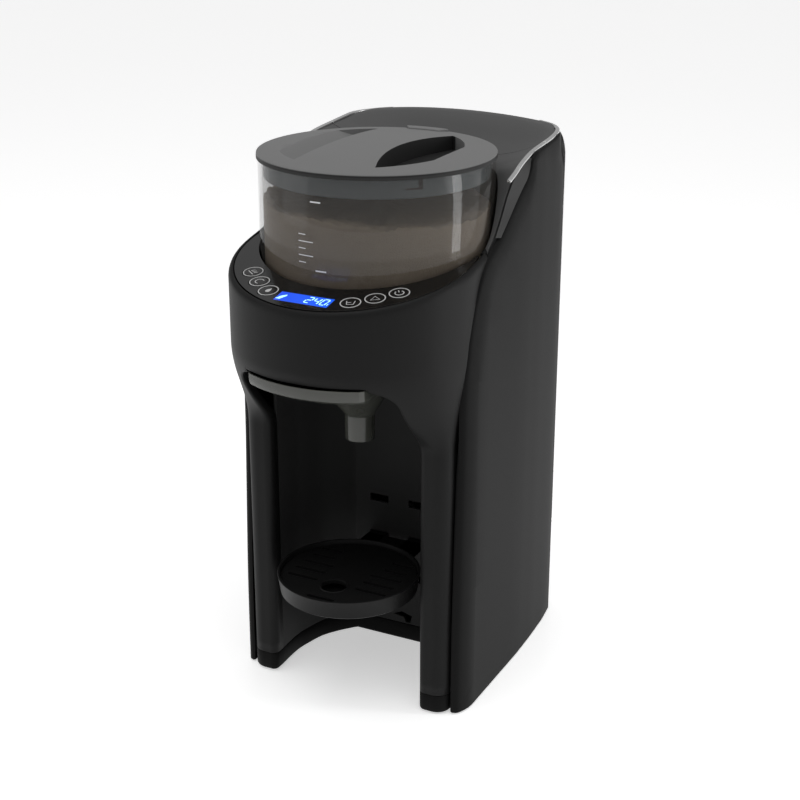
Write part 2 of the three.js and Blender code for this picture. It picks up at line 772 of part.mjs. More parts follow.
// Collar and deck round the back half of the hopper
function makeTopDeck() {
  const backY = tankFrontY - slideGap;
  const profile = (inset) => [
    [shellRearY + seatGap + inset, frameTopZ + seatGap - inset],
    ...sideProfile([...innerCrestShares, ...topEdgeShares.slice(0, 3)])
      .map(([y, z]) => [Math.min(Math.max(y, shellRearY + seatGap) + inset, backY - inset), z - inset]),
    [backY - inset, frameTopZ + seatGap - inset],
  ];
  const outer = prismAlongX(profile(0), -pillarHalfWidth, pillarHalfWidth);
  const bore = rod(boreRadius, frameTopZ - overrun, overallHeight + overrun, 0, 0, largeSides);
  const collarFoot = frameTopZ - overrun * 2;
  const collar = rod(boreRadius + shellWall, collarFoot, overallHeight + overrun, 0, 0, largeSides);
  const room = prismAlongX(profile(shellWall), -pillarHalfWidth + shellWall, pillarHalfWidth - shellWall)
    .subtract(collar);
  piece("top_deck", cut(outer, bore, room, scoop()), matteBlack);
}

// Glossy crescent that slopes down to the front, with windows for the keys and the display
const ringPlace = (radius, turn) => [radius * Math.sin(turn), -radius * Math.cos(turn)];
const ringTilt = Math.atan(ringSlope);

// A flat piece laid on the ring's slope at a place, turned to face outwards, sunk by drop
function onRing(geometry, [x, y], turn, drop) {
  return geometry
    .translate(0, 0, -drop)
    .rotateZ(turn)
    .rotateX(ringTilt)
    .translate(x, y, ringZ(y));
}

const ovalSlab = (length, width, thickness) =>
  new THREE.CylinderGeometry(1, 1, 1, mediumSides)
    .rotateX(Math.PI / 2)
    .scale(length / 2, width / 2, thickness);

const keyPlace = (i) => ringPlace(keyRadius * keyRadiusShares[i], keyAngles[i]);
const displayPlace = ringPlace(displayRadius, displayTurn);

function crescent(outerRadius, innerRadius, top, bottom) {
  const full = rod(outerRadius, headLowerZ, overallHeight, 0, -ringSetback, largeSides);
  const hole = rod(innerRadius, headLowerZ - overrun, overallHeight + overrun, 0, 0, largeSides);
  const lower = aboveRing(-bottom);
  const behind = box(
    -halfWidth,
    halfWidth,
    shellRearY - innerRadius / 6,
    rearReach,
    0,
    overallHeight + overrun,
  );
  return cut(full.intersect(lower), hole, aboveRing(-top), behind);
}

function makeControls() {
  const keyHole = () => ovalSlab(keyLength + slideGap, keyWidth + slideGap, ringThickness * 4);
  const holes = keyNames.map((_, i) => solid(onRing(keyHole(), keyPlace(i), keyAngles[i], 0)));
  const windowHole = solid(
    onRing(
      new THREE.BoxGeometry(displayLength + slideGap, displayWidth + slideGap, ringThickness * 4),
      displayPlace,
      displayTurn,
      0,
    ),
  );
  const ring = crescent(ringRadius, boreRadius - hopperBoreGap / 2, 0, ringThickness);
  piece("control_ring", cut(ring, ...holes, windowHole), glossBlack);
  keyNames.forEach((name, i) => {
    const cap = solid(
      onRing(ovalSlab(keyLength, keyWidth, keyThickness), keyPlace(i), keyAngles[i], keyThickness / 2),
    );
    piece(name, cap, keyBlack);
  });
  const window = solid(
    onRing(
      new THREE.BoxGeometry(displayLength, displayWidth, displayThickness),
      displayPlace,
      displayTurn,
      displayThickness / 2,
    ),
  );
  piece("display_window", window, glossBlack);
  const board = crescent(
    ringRadius - boardInset,
    boreRadius + boardInset / 2,
    ringThickness + boardDrop,
    ringThickness + boardDrop + boardThickness,
  );
  piece("key_board", board, boardGreen);
  const module = solid(
    onRing(
      new THREE.BoxGeometry(displayLength, displayWidth, moduleDepth),
      displayPlace,
      displayTurn,
      displayThickness + seatGap + moduleDepth / 2,
    ),
  );
  piece("display_module", module, displayBlue);
}

// Plate over the bay, with the powder opening, the funnel's rails and the motor's shaft hole
function makeHeadFloor() {
  const top = headFloorZ + headFloorThickness;
  const front = frontBody(shellWall + slideGap * 2, headFloorZ, overallHeight, shellRearY)
    .intersect(box(-headRadius, headRadius, headFrontY, shellRearY, headFloorZ, top));
  const rearHalf = pillarHalfWidth - shellWall - seatGap;
  const rearY = pinionY + motorRadius + overrun;
  const plate = front.add(box(-rearHalf, rearHalf, shellRearY - overrun, rearY, headFloorZ, top));
  const [low, high] = [headFloorZ - overrun, top + overrun];
  const opening = rod(outletRadius * headOpeningShare, low, high, 0, outletY, mediumSides);
  const shaftHole = rod(shaftRadius, low, high, 0, pinionY, smallSides);
  const rails = [-1, 1].map((side) => {
    const span = (a, b) => [side * a, side * b].sort((p, q) => p - q);
    const inner = funnelHalfWidth + slideGap;
    const lipZ = funnelRimZ - funnelRimThickness - slideGap;
    const rail = (from, top) =>
      box(...span(from, inner + railWidth), funnelConeY * 2, funnelRearY, lipZ - railWidth, top);
    return join(rail(inner, headFloorZ + seatGap), rail(inner - railLip, lipZ));
  });
  piece("head_floor", cut(join(plate, ...rails), opening, shaftHole), satinBlack);
}

// Plate that the hopper stands on, with the powder chute and the legs to the head floor
function makeHopperSeat() {
  const top = seatPlateZ + seatPlateThickness;
  const floorTop = headFloorZ + headFloorThickness;
  const disc = rod(hopperInner + hopperWall / 2, seatPlateZ, top, 0, 0, largeSides);
  const chute = rod(outletRadius + thinWall, headFloorZ - seatGap, top, 0, outletY, mediumSides);
  const chuteBore = rod(outletRadius, headFloorZ - overrun, top + overrun, 0, outletY, mediumSides);
  const shaftBore = rod(shaftRadius + slideGap, seatPlateZ - overrun, top + overrun, 0, 0, smallSides);
  const legs = [-1, 1].flatMap((side) =>
    seatLegShares.map((share) =>
      rod(hubRadius / 2, floorTop + seatGap, top, side * outletY, outletY * share, tinySides),
    ),
  );
  piece("hopper_seat", cut(join(disc, chute, ...legs), chuteBore, shaftBore), satinBlack);
}

// Spur gear outline with straight flanks
function gearOutline(teeth, phase) {
  const pitch = (gearModule * teeth) / 2;
  const points = [];
  for (let i = 0; i < teeth; i += 1) {
    const middle = ((i + phase) / teeth) * 2 * Math.PI;
    const half = toothWidthShares.map((share) => (share * Math.PI) / teeth);
    const [foot, tip] = toothHeightShares.map((share) => pitch + share * gearModule);
    points.push(
      [foot, middle - half[0]],
      [tip, middle - half[1]],
      [tip, middle + half[1]],
      [foot, middle + half[0]],
    );
  }
  return points.map(([r, turn]) => [r * Math.sin(turn), r * Math.cos(turn)]);
}

function makeDrive() {
  const gear = prism(gearOutline(gearTeeth, 0), gearZ, gearZ + gearThickness);
  const hubZ = headFloorZ + headFloorThickness + seatGap;
  const gearHub = rod(hubRadius, hubZ, gearZ + gearThickness, 0, 0, smallSides);
  const shaftHole = rod(shaftRadius + seatGap, headFloorZ, overallHeight, 0, 0, tinySides);
  piece("drive_gear", cut(join(gear, gearHub), shaftHole), whitePlastic);
  const dogZ = hopperFootZ + slideGap;
  const shaft = rod(shaftRadius, hubZ + slideGap - seatGap, dogZ + seatGap, 0, 0, tinySides);
  const dog = rod(socketRadius - slideGap, dogZ, wheelZ + wheelThickness / 2, 0, 0, hexSides);
  piece("drive_shaft", join(shaft, dog), steel);
  const outline = gearOutline(pinionTeeth, 0).map(([x, along]) => [x, along + pinionY]);
  const pinion = prism(outline, gearZ, gearZ + gearThickness);
  const stub = rod(shaftRadius - slideGap, headFloorZ - seatGap, gearZ + seatGap, 0, pinionY, tinySides);
  piece("motor_pinion", join(pinion, stub), whitePlastic);
  const motorTop = headFloorZ - slideGap;
  const can = rod(motorRadius, motorTop - motorLength, motorTop, 0, pinionY, mediumSides);
  piece("gear_motor", can, steel);
}

// Clear hopper: a tube with a floor that lets powder down at the back of the dosing wheel
function makeHopper() {
  const profile = [
    [hopperRadius, hopperFootZ],
    [hopperRadius, hopperRimZ],
    [hopperInner, hopperRimZ],
    [hopperInner, hopperFootZ],
    [hopperRadius, hopperFootZ],
  ];
  const floorTop = hopperFloorZ + hopperFloorThickness;
  const floor = rod(hopperInner + hopperWall / 2, hopperFloorZ, floorTop, 0, 0, largeSides);
  const hub = rod(hubRadius + slideGap, hopperFloorZ - overrun, hopperFloorZ + overrun, 0, 0, smallSides);
  const feeds = [-1, 0, 1].map((step) => {
    const [x, y] = ringPlace(outletY, (step * Math.PI) / 3);
    return rod(outletRadius + seatGap, hopperFloorZ - overrun, hopperFloorZ + overrun, x, y, smallSides);
  });
  piece("hopper_body", cut(join(turned(profile, largeSides), floor), hub, ...feeds), smokeClear);
  const baseTop = wheelZ - slideGap;
  const baseDisc = rod(hopperInner - seatGap, hopperFootZ, baseTop, 0, 0, largeSides);
  const outlet = rod(outletRadius, hopperFootZ - overrun, baseTop + overrun, 0, outletY, mediumSides);
  const hubHole = rod(hubRadius + slideGap, hopperFootZ - overrun, baseTop + overrun, 0, 0, smallSides);
  piece("hopper_base", cut(baseDisc, outlet, hubHole), matteBlack);
}

// Dosing wheel and the paddle that stirs the powder above it, which turn together
function makeDosing() {
  const top = wheelZ + wheelThickness;
  const disc = rod(wheelRadius, wheelZ, top, 0, 0, largeSides);
  const hub = rod(hubRadius, hopperFootZ + slideGap, hopperFloorZ + hopperFloorThickness, 0, 0, smallSides);
  const pockets = Array.from({ length: wheelPockets }, (_, i) => {
    const [x, y] = ringPlace(-outletY, ((i * 2) / wheelPockets) * Math.PI);
    return rod(outletRadius, wheelZ - overrun, top + overrun, x, y, smallSides);
  });
  const socket = rod(socketRadius, hopperFootZ - overrun, top, 0, 0, hexSides);
  piece("dosing_wheel", cut(join(disc, hub), ...pockets, socket), whitePlastic);
  const z0 = hopperFloorZ + hopperFloorThickness + slideGap;
  const boss = rod(hubRadius, z0, z0 + paddleHeight, 0, 0, smallSides);
  const arm = box(-paddleReach, paddleReach, -paddleWidth / 2, paddleWidth / 2, z0, z0 + paddleHeight / 2);
  const fins = [-1, 1].map((side) => {
    const [a, b] = [side * paddleReach, side * paddleReach * paddleFinShare].sort((p, q) => p - q);
    return box(a, b, -thinWall / 2, thinWall / 2, z0, z0 + paddleHeight);
  });
  piece("stirring_paddle", join(boss, arm, ...fins), whitePlastic);
}

// Milk powder as it lies in the hopper, clear of the paddle below it
function makePowder() {
  const z0 = hopperFloorZ + hopperFloorThickness + paddleHeight + slideGap * 2;
  const radius = hopperInner - seatGap;
  const profile = [
    [0, z0],
    [radius, z0],
    [radius, powderTopZ - powderDip],
    [radius * powderHeapShares[0], powderTopZ],
    [radius * powderHeapShares[1], powderTopZ - powderDip / 2],
    [0, powderTopZ - powderDip],
  ];
  piece("powder_bed", turned(profile, largeSides), milkPowder);
}

// Lid: a shallow dome with a skirt inside the hopper and a finger recess each side of the grip bar
function gripOutline(grow) {
  const steps = tinySides;
  const corner = Math.atan2(gripHalfLength, gripHalfWidth);
  const points = [];
  for (let i = 0; i <= steps; i += 1) {
    const turn = mix(-corner, corner, i / steps);
    points.push([(gripReach + grow) * Math.cos(turn), (gripReach + grow) * Math.sin(turn)]);
  }
  return points.map(([x, y]) => [Math.max(x, gripHalfWidth - grow), y]);
}

function makeLid() {
  const topZ = lidUnderZ + lidEdge;
  const skirtRadius = hopperInner - skirtGap;
  const crown = (share) => topZ + lidCrown * (1 - share * share);
  const outside = lidDomeShares.map((share) => [lidRadius * share, crown(share)]);
  const inside = lidDomeShares.slice().reverse().map((share) => [lidRadius * share, crown(share) - lidPlate]);
  const profile = [
    [0, crown(0) - lidPlate],
    ...inside.slice(0, -1),
    [skirtRadius - skirtWall, topZ - lidPlate + seatGap],
    [skirtRadius - skirtWall, lidUnderZ - skirtDepth],
    [skirtRadius, lidUnderZ - skirtDepth],
    [skirtRadius, lidUnderZ - gasketDrop - gasketHeight],
    [skirtRadius - gasketDepth, lidUnderZ - gasketDrop - gasketHeight],
    [skirtRadius - gasketDepth, lidUnderZ - gasketDrop],
    [skirtRadius, lidUnderZ - gasketDrop],
    [skirtRadius, lidUnderZ],
    [lidRadius, lidUnderZ],
    [lidRadius, topZ],
    ...outside,
    [0, crown(0)],
  ];
  const cap = turned(profile, largeSides);
  const wells = [-1, 1].map((side) => {
    const outline = (grow) => gripOutline(grow).map(([x, y]) => [side * x, y]);
    const floorZ = topZ + lidCrown - gripDepth;
    return {
      wall: prism(outline(thinWall), floorZ - thinWall, topZ - seatGap),
      room: prism(outline(0), floorZ, overallHeight + overrun),
    };
  });
  const lid = cut(join(cap, ...wells.map((well) => well.wall)), ...wells.map((well) => well.room));
  piece("hopper_lid", lid, lidGrey);
  const outer = hopperInner - seatGap / 2;
  const inner = skirtRadius - gasketDepth + seatGap;
  const low = lidUnderZ - gasketDrop - gasketHeight + seatGap;
  const high = lidUnderZ - gasketDrop - seatGap;
  const section = [[outer, low], [outer, high], [inner, high], [inner, low], [outer, low]];
  piece("lid_gasket", turned(section, largeSides), silicone);
}

// Funnel: a flanged dish under the head that narrows to the outlet above the bottle
function dishRing(half, frontRadius, rearY, z) {
  const count = mediumSides;
  const middle = funnelConeY;
  return Array.from({ length: count }, (_, i) => {
    const turn = (i / count) * 2 * Math.PI;
    const [ux, uy] = [Math.cos(turn), Math.sin(turn)];
    const offset = middle + headSetback;
    const along = uy * offset;
    const round = -along + Math.sqrt(along * along - offset * offset + frontRadius * frontRadius);
    const side = half / Math.max(Math.abs(ux), half / frontRadius / 2);
    const back = uy > 0 ? (rearY - middle) / uy : round;
    const reach = Math.min(round, side, back);
    return new THREE.Vector3(ux * reach, middle + uy * reach, z);
  });
}

const roundRing = (radius, y, z) =>
  Array.from({ length: mediumSides }, (_, i) => {
    const turn = (i / mediumSides) * 2 * Math.PI;
    return new THREE.Vector3(radius * Math.cos(turn), y + radius * Math.sin(turn), z);
  });

function funnelBody(inset, end) {
  const rim = headRadius - seatGap - inset;
  const half = funnelHalfWidth - funnelLipWidth - inset;
  const rearY = funnelRearY - inset;
  return loft([
    roundRing(funnelOutletRadius - inset, bottleY, funnelOutletZ - end),
    roundRing(funnelOutletRadius - inset, bottleY, funnelNeckZ - inset / 2),
    roundRing(funnelNeckRadius - inset, bottleY, funnelNeckZ + seatGap + inset / 2),
    roundRing(funnelConeRadius - inset, funnelConeY, funnelConeZ + inset),
    dishRing(half, rim - funnelBandInset, rearY, funnelBandZ + inset),
    dishRing(half, rim, rearY, funnelRimZ - funnelRimThickness),
    dishRing(half, rim, rearY, funnelRimZ + end),
  ]);
}

function makeFunnel() {
  const flange = [
    dishRing(funnelHalfWidth, headRadius - seatGap, funnelRearY, funnelRimZ - funnelRimThickness),
    dishRing(funnelHalfWidth, headRadius - seatGap, funnelRearY, funnelRimZ),
  ];
  const notch = box(
    nozzleX - nozzleRadius - slideGap,
    nozzleX + nozzleRadius + slideGap,
    funnelRearY - overrun,
    funnelRearY + overrun,
    nozzleZ - nozzleRadius - slideGap,
    funnelRimZ + overrun,
  );
  const body = funnelBody(0, 0).add(loft(flange));
  piece("funnel", cut(body, funnelBody(funnelWall, overrun), notch), smokeFunnel);
  const pipeEnd = linerBackY + linerWall + overrun;
  const pipe = rodAlongY(nozzleRadius, nozzleTipY, pipeEnd, nozzleX, nozzleZ);
  const bore = rodAlongY(nozzleBore, nozzleTipY - overrun, pipeEnd + overrun, nozzleX, nozzleZ, tinySides);
  piece("water_nozzle", pipe.subtract(bore), whitePlastic);
}

// Drip tray with its slotted grid, hooked into the back of the bay
function makeTray() {
  const profile = [
    [0, trayFootZ],
    [trayFootRadius, trayFootZ],
    [trayRadius, trayTopZ],
    [trayRadius - trayWall, trayTopZ],
    [trayRadius - trayWall, trayTopZ - gridThickness - gridInset],
    [trayRadius - gridInset, trayTopZ - gridThickness - gridInset],
    [trayFootRadius - gridInset, trayFootZ + trayWall],
    [0, trayFootZ + trayWall],
  ];
  const cup = turned(profile, largeSides, 0, trayY);
  const hookZ = trayFootZ + trayWall + slideGap;
  const hooks = [-1, 1].map((side) => {
    const x0 = side * hookX - hookWidth / 2;
    const hookEnd = linerBackY + linerWall + seatGap;
    return box(x0, x0 + hookWidth, linerBackY / 2, hookEnd, hookZ, hookZ + hookHeight);
  });
  const web = box(
    -hookX - hookWidth / 2,
    hookX + hookWidth / 2,
    trayY + trayRadius - gridInset,
    linerBackY - slideGap - gridInset,
    hookZ,
    hookZ + hookHeight,
  );
  piece("drip_tray", join(cup, web, ...hooks), matteBlack);
  const gridZ = trayTopZ - gridThickness - gridInset + seatGap;
  const disc = rod(trayRadius - trayWall - seatGap, gridZ, gridZ + gridThickness, 0, trayY, largeSides);
  const slots = [-1, 1].flatMap((side) =>
    [-1.5, -0.5, 0.5, 1.5].map((row) => {
      const y0 = trayY + row * gridSlotStep + gridSlotStep / 4 - gridSlotWidth / 2;
      const x0 = side * gridSlotX - gridSlotLength / 2;
      return box(x0, x0 + gridSlotLength, y0, y0 + gridSlotWidth, 0, trayTopZ);
    }),
  );
  const frontSlot = box(
    -gridSlotLength / 2,
    gridSlotLength / 2,
    trayY - trayRadius + gridSlotStep - gridSlotWidth,
    trayY - trayRadius + gridSlotStep,
    0,
    trayTopZ,
  );
  const hole = rod(gridHoleRadius, 0, trayTopZ + overrun, 0, gridHoleY, smallSides);
  piece("tray_grid", cut(disc, frontSlot, hole, ...slots), matteBlack);
}

// All that lies under the crowned top of the tank's lid
function underCrown() {
  const steps = smallSides;
  const arch = Array.from({ length: steps + 1 }, (_, i) => {
    const share = mix(1, -1, i / steps);
    return [share * halfWidth, overallHeight - lidSideFall * share * share];
  });
  return prismAlongY([[-halfWidth, 0], [halfWidth, 0], ...arch], 0, rearReach + overrun);
}

// Rear water tank, its housing below, its lid and the lid's hinge
function makeTank() {
  const housing = prism(rearPlan(pillarHalfWidth, tankFrontY, seatGap), shellFootZ, tankBaseTopZ);
  const housingRoom = prism(
    rearPlan(pillarHalfWidth - shellWall, tankFrontY - overrun, seatGap + shellWall),
    shellFootZ - overrun,
    tankBaseTopZ - shellWall,
  );
  const cupRadius = valveHole + thinWall + seatGap;
  const cupHole = rod(cupRadius, tankFloorZ / 2, tankBaseTopZ + overrun, valveX, valveY, smallSides);
  const [glandStart, glandEnd] = [rearReach - overrun * 2, rearReach + overrun];
  const glandHole = rodAlongY(glandRadius + seatGap, glandStart, glandEnd, glandX, glandZ);
  piece("tank_housing", cut(housing, housingRoom, cupHole, glandHole), satinBlack);

  const outer = prism(rearPlan(tankHalfWidth, tankFrontY, 0), tankFloorZ, tankTopZ);
  const inner = prism(
    rearPlan(tankHalfWidth - tankWall, tankFrontY + tankWall, tankWall),
    tankFloorZ + tankWall,
    tankTopZ + overrun,
  );
  const outlet = rod(valveHole, tankFloorZ - overrun, tankFloorZ + overrun, valveX, valveY, smallSides);
  const earY = lidHingeEar + lidHingePin;
  const ears = [-1, 1].map((side) => {
    const [a, b] = [side * lidHingeX, side * (lidHingeX + lidHingeEar)].sort((p, q) => p - q);
    const [frontY, foot] = [lidHingeY - earY / 2, tankTopZ - overrun];
    return box(a, b, frontY, lidHingeY + earY / 2, foot, lidHingeZ + earY / 2)
      .add(box(a, b, frontY, rearReach - tankWall / 2, foot, tankTopZ));
  });
  const pinHole = rodAlongX(lidHingePin + seatGap, -halfWidth, halfWidth, lidHingeY, lidHingeZ);
  piece("water_tank", cut(join(cut(outer, inner, outlet), ...ears, valveCage()), pinHole), smokeClear);

  const profile = [
    [tankFrontY, tankTopZ + seatGap],
    ...sideProfile(lidTopShares).map(([y, z]) => [Math.max(y, tankFrontY), z]),
    [rearReach, tankTopZ + overrun],
    [lidHingeY + seatGap, tankTopZ + seatGap],
  ];
  const plan = rearPlan(tankHalfWidth, tankFrontY - overrun, 0);
  const cover = prismAlongX(profile, -tankHalfWidth, tankHalfWidth)
    .intersect(prism(plan, tankTopZ - overrun, overallHeight + overrun))
    .intersect(underCrown());
  const room = prism(
    rearPlan(tankHalfWidth - shellWall, tankFrontY + shellWall, shellWall),
    tankTopZ - overrun,
    lidHollowTopZ,
  );
  const knuckles = [-1, 1].map((side) => {
    const [a, b] = [side * (lidHingeX - seatGap), side * (lidHingeX - lidHingeEar * 2)].sort((p, q) => p - q);
    const [frontY, foot] = [lidHingeY - earY / 2, lidHingeZ - earY / 2];
    return box(a, b, frontY, rearReach - shellWall / 2, foot, lidHollowTopZ + seatGap);
  });
  const earRoom = [-1, 1].map((side) => {
    const edges = [side * (lidHingeX - seatGap), side * (lidHingeX + lidHingeEar + seatGap)];
    const [a, b] = edges.sort((p, q) => p - q);
    return box(a, b, lidHingeY - earY, lidHingeY + seatGap, tankTopZ - overrun, lidHingeZ + earY)
      .add(box(a, b, lidHingeY, rearReach + overrun, tankTopZ - overrun, lidHingeZ + earY / 2 + slideGap));
  });
  piece("tank_lid", cut(join(cut(cover, room), ...knuckles), ...earRoom, pinHole, scoop()), matteBlack);
  const pinEnd = lidHingeX + lidHingeEar;
  piece("lid_hinge_pin", rodAlongX(lidHingePin, -pinEnd, pinEnd, lidHingeY, lidHingeZ, tinySides), steel);
}

const discZ = tankFloorZ + tankWall + valveLift;
const cageTop = discZ + tankWall + springLength + thinWall;

// Bridge in the tank that guides the valve's stem and backs its spring
function valveCage() {
  const legX = valveDisc + thinWall;
  const halfY = valveDisc / 2;
  const span = (a, b) => [valveX + a, valveX + b, valveY - halfY, valveY + halfY];
  const legs = [-1, 1].map((side) =>
    box(...span(side * legX - thinWall / 2, side * legX + thinWall / 2), tankFloorZ + tankWall / 2, cageTop),
  );
  const bridge = box(...span(-legX - thinWall / 2, legX + thinWall / 2), cageTop - thinWall, cageTop);
  const guide = rod(valveStem + slideGap, cageTop - overrun, cageTop + overrun, valveX, valveY, smallSides);
  return cut(join(bridge, ...legs), guide);
}

// Valve in the tank's floor, held open by the post of the coupling while the tank is in place
function makeValve() {
  const stemEnd = tankBaseTopZ - slideGap;
  const stem = rod(valveStem, stemEnd, cageTop + valveLift, valveX, valveY, smallSides);
  const disc = rod(valveDisc, discZ, discZ + thinWall, valveX, valveY, smallSides);
  piece("valve_plunger", join(stem, disc), whitePlastic);
  const sealProfile = [
    [valveHole + seatGap, discZ - thinWall],
    [valveDisc, discZ - thinWall],
    [valveDisc, discZ - seatGap],
    [valveHole + seatGap, discZ - seatGap],
    [valveHole + seatGap, discZ - thinWall],
  ];
  piece("valve_seal", turned(sealProfile, smallSides, valveX, valveY), silicone);
  const low = discZ + thinWall + springWire + seatGap;
  const high = cageTop - thinWall - springWire - seatGap;
  const steps = springTurns * tinySides;
  const points = Array.from({ length: steps + 1 }, (_, i) => {
    const turn = (i / tinySides) * 2 * Math.PI;
    return [
      valveX + springRadius * Math.cos(turn),
      valveY + springRadius * Math.sin(turn),
      mix(low, high, i / steps),
    ];
  });
  piece("valve_spring", tubeAlong(points, springWire, springSides, steps), steel);

  const cup = [
    [valveHole + thinWall, tankBaseTopZ + seatGap],
    [valveHole + thinWall, tankBaseTopZ - overrun * 2],
    [valveHole - thinWall, tankBaseTopZ - overrun * 2],
    [valveHole - thinWall, tankBaseTopZ - overrun],
    [valveHole, tankBaseTopZ - overrun],
    [valveHole, tankBaseTopZ + seatGap],
    [valveHole + thinWall, tankBaseTopZ + seatGap],
  ];
  const post = rod(valveStem, tankBaseTopZ - overrun * 2, stemEnd - seatGap, valveX, valveY, tinySides);
  const rib = box(
    valveX - valveHole,
    valveX + valveHole,
    valveY - thinWall / 2,
    valveY + thinWall / 2,
    tankBaseTopZ - overrun * 2,
    tankBaseTopZ - overrun,
  );
  piece("tank_coupling", join(turned(cup, smallSides, valveX, valveY), rib, post), silicone);
}

// Pump, heater, boards, tubes and the mains gland
function makeInside() {
  const floorZ = footHeight + baseFloor + seatGap;
  const middleY = (linerBackY + linerWall + frameBackY) / 2;
  const pumpTop = tankBaseTopZ;
  const pump = rod(pumpRadius, floorZ, pumpTop, pumpX, middleY, smallSides);
  piece("water_pump", pump, whitePlastic);
  const heater = box(
    heaterX - heaterWidth / 2,
    heaterX + heaterWidth / 2,
    middleY - heaterWidth / 2,
    middleY + heaterWidth / 2,
    floorZ,
    heaterTop,
  );
  piece("heater_block", heater, steel);
  const tubeZ = floorZ + tubeRadius * 6;
  const coupling = tankBaseTopZ - overrun * 2 - seatGap;
  const supply = [
    [valveX, valveY, coupling],
    [valveX, valveY, coupling - overrun * 2],
    [valveX - heaterWidth / 2, valveY - overrun * 2, tubeZ + overrun],
    [0, frameBackY - overrun, tubeZ],
    [pumpX + pumpRadius * 2, middleY + overrun / 2, tubeZ],
    [pumpX + pumpRadius * 1.3, middleY, tubeZ],
    [pumpX + pumpRadius + slideGap, middleY, tubeZ],
  ];
  piece("supply_tube", tubeAlong(supply, tubeRadius), silicone);
  const pressZ = pumpTop - overrun;
  const press = [
    [pumpX + pumpRadius + seatGap, middleY, pressZ],
    [pumpX + pumpRadius * 2, middleY, pressZ],
    [heaterX - heaterWidth, middleY, pressZ],
    [heaterX - heaterWidth / 2 - seatGap, middleY, pressZ],
  ];
  piece("pump_tube", tubeAlong(press, tubeRadius, tinySides, press.length * 2), silicone);
  const nozzleEnd = linerBackY + linerWall + overrun + seatGap;
  const hot = [
    [heaterX, middleY, heaterTop + seatGap],
    [heaterX, middleY, heaterTop + overrun * 2],
    [heaterX - overrun / 2, middleY, nozzleZ - overrun * 4],
    [nozzleX + overrun * 1.5, nozzleEnd + overrun * 1.5, nozzleZ - overrun],
    [nozzleX + seatGap, nozzleEnd + overrun / 2, nozzleZ],
    [nozzleX, nozzleEnd, nozzleZ],
  ];
  piece("outlet_tube", tubeAlong(hot, tubeRadius), silicone);
  const boardTop = frameTopZ - pumpTop;
  const board = box(
    -heaterWidth * 1.6,
    heaterWidth * 1.6,
    frameBackY - seatGap - boardThickness,
    frameBackY - seatGap,
    heaterTop,
    boardTop,
  );
  piece("main_board", board, boardGreen);
  const glandY = rearReach - seatGap;
  const gland = rodAlongY(glandRadius, glandY - shellWall - overrun, glandY + seatGap, glandX, glandZ);
  const cordHole = rodAlongY(tubeRadius, glandY - shellWall - overrun * 2, glandY + overrun, glandX, glandZ);
  piece("cord_gland", gland.subtract(cordHole), rubber);
  const sensorY = linerBackY + linerWall + seatGap;
  const sensor = box(
    -heaterWidth / 4,
    heaterWidth / 4,
    sensorY,
    sensorY + overrun,
    trayTopZ + overrun,
    trayTopZ + overrun * 3,
  );
  piece("bottle_sensor", sensor, keyBlack);
}

makeBase();
makeFeet();
makeScrews();
makeFrontShell();
makeBayLiner();
makeSide(-1, "left");
makeSide(1, "right");
makeRearFrame();
makeTopDeck();
makeControls();
makeHeadFloor();
makeHopperSeat();
makeDrive();
makeHopper();
makeDosing();
makePowder();
makeLid();
makeFunnel();
makeTray();
makeTank();
makeValve();
makeInside();

export default root;
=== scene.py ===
import math

import bmesh
import bpy
from mathutils import Matrix, Vector, noise


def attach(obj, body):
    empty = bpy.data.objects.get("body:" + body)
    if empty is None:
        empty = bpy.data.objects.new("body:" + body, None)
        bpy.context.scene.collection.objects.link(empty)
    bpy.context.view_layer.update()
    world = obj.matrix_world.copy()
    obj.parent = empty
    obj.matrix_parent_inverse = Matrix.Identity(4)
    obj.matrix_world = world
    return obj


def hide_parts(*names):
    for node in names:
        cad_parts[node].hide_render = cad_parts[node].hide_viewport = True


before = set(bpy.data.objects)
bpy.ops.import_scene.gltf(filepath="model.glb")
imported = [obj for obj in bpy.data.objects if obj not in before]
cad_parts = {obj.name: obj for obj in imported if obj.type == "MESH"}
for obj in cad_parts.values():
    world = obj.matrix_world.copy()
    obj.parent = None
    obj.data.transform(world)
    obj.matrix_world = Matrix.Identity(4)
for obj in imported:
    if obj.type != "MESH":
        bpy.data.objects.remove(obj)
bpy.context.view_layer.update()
print("frame loaded:", len(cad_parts), "nodes")

# Sizes below are millimetres from the hopper's axis; the finished mesh is in metres on the frame.
layout = {"unit": 0.001, "shiftY": -14}
toFrame = Matrix.Translation((0, layout["shiftY"] * layout["unit"], 0)) @ Matrix.Scale(layout["unit"], 4)


# small helpers
def mix(a, b, share):
    return a + (b - a) * share


def evenSteps(a, b, count):  # from a to b with both ends
    return [mix(a, b, i / count) for i in range(count + 1)]


def ease(low, high, value):  # smooth step from 0 to 1
    t = min(max((value - low) / (high - low), 0), 1)
    return t * t * (3 - 2 * t)


def through(points, steps):  # a smooth line through chosen points, same count between each pair
    padded = [points[0], *points, points[-1]]
    line = []
    for i in range(1, len(padded) - 2):
        a, b, c, d = (Vector(p) for p in padded[i - 1:i + 3])
        for k in range(steps):
            t = k / steps
            bend = (2 * a - 5 * b + 4 * c - d) * t * t
            twist = (3 * b - a - 3 * c + d) * t ** 3
            line.append(0.5 * ((2 * b) + (c - a) * t + bend + twist))
    line.append(Vector(points[-1]))
    return line


def evenly(line, count):  # the same line in equal steps
    lengths = [0]
    for a, b in zip(line, line[1:]):
        lengths.append(lengths[-1] + (b - a).length)
    found, k = [], 0
    for i in range(count + 1):
        goal = lengths[-1] * i / count
        while k < len(line) - 2 and lengths[k + 1] < goal:
            k += 1
        span = lengths[k + 1] - lengths[k]
        found.append(line[k].lerp(line[k + 1], (goal - lengths[k]) / span if span else 0))
    return found


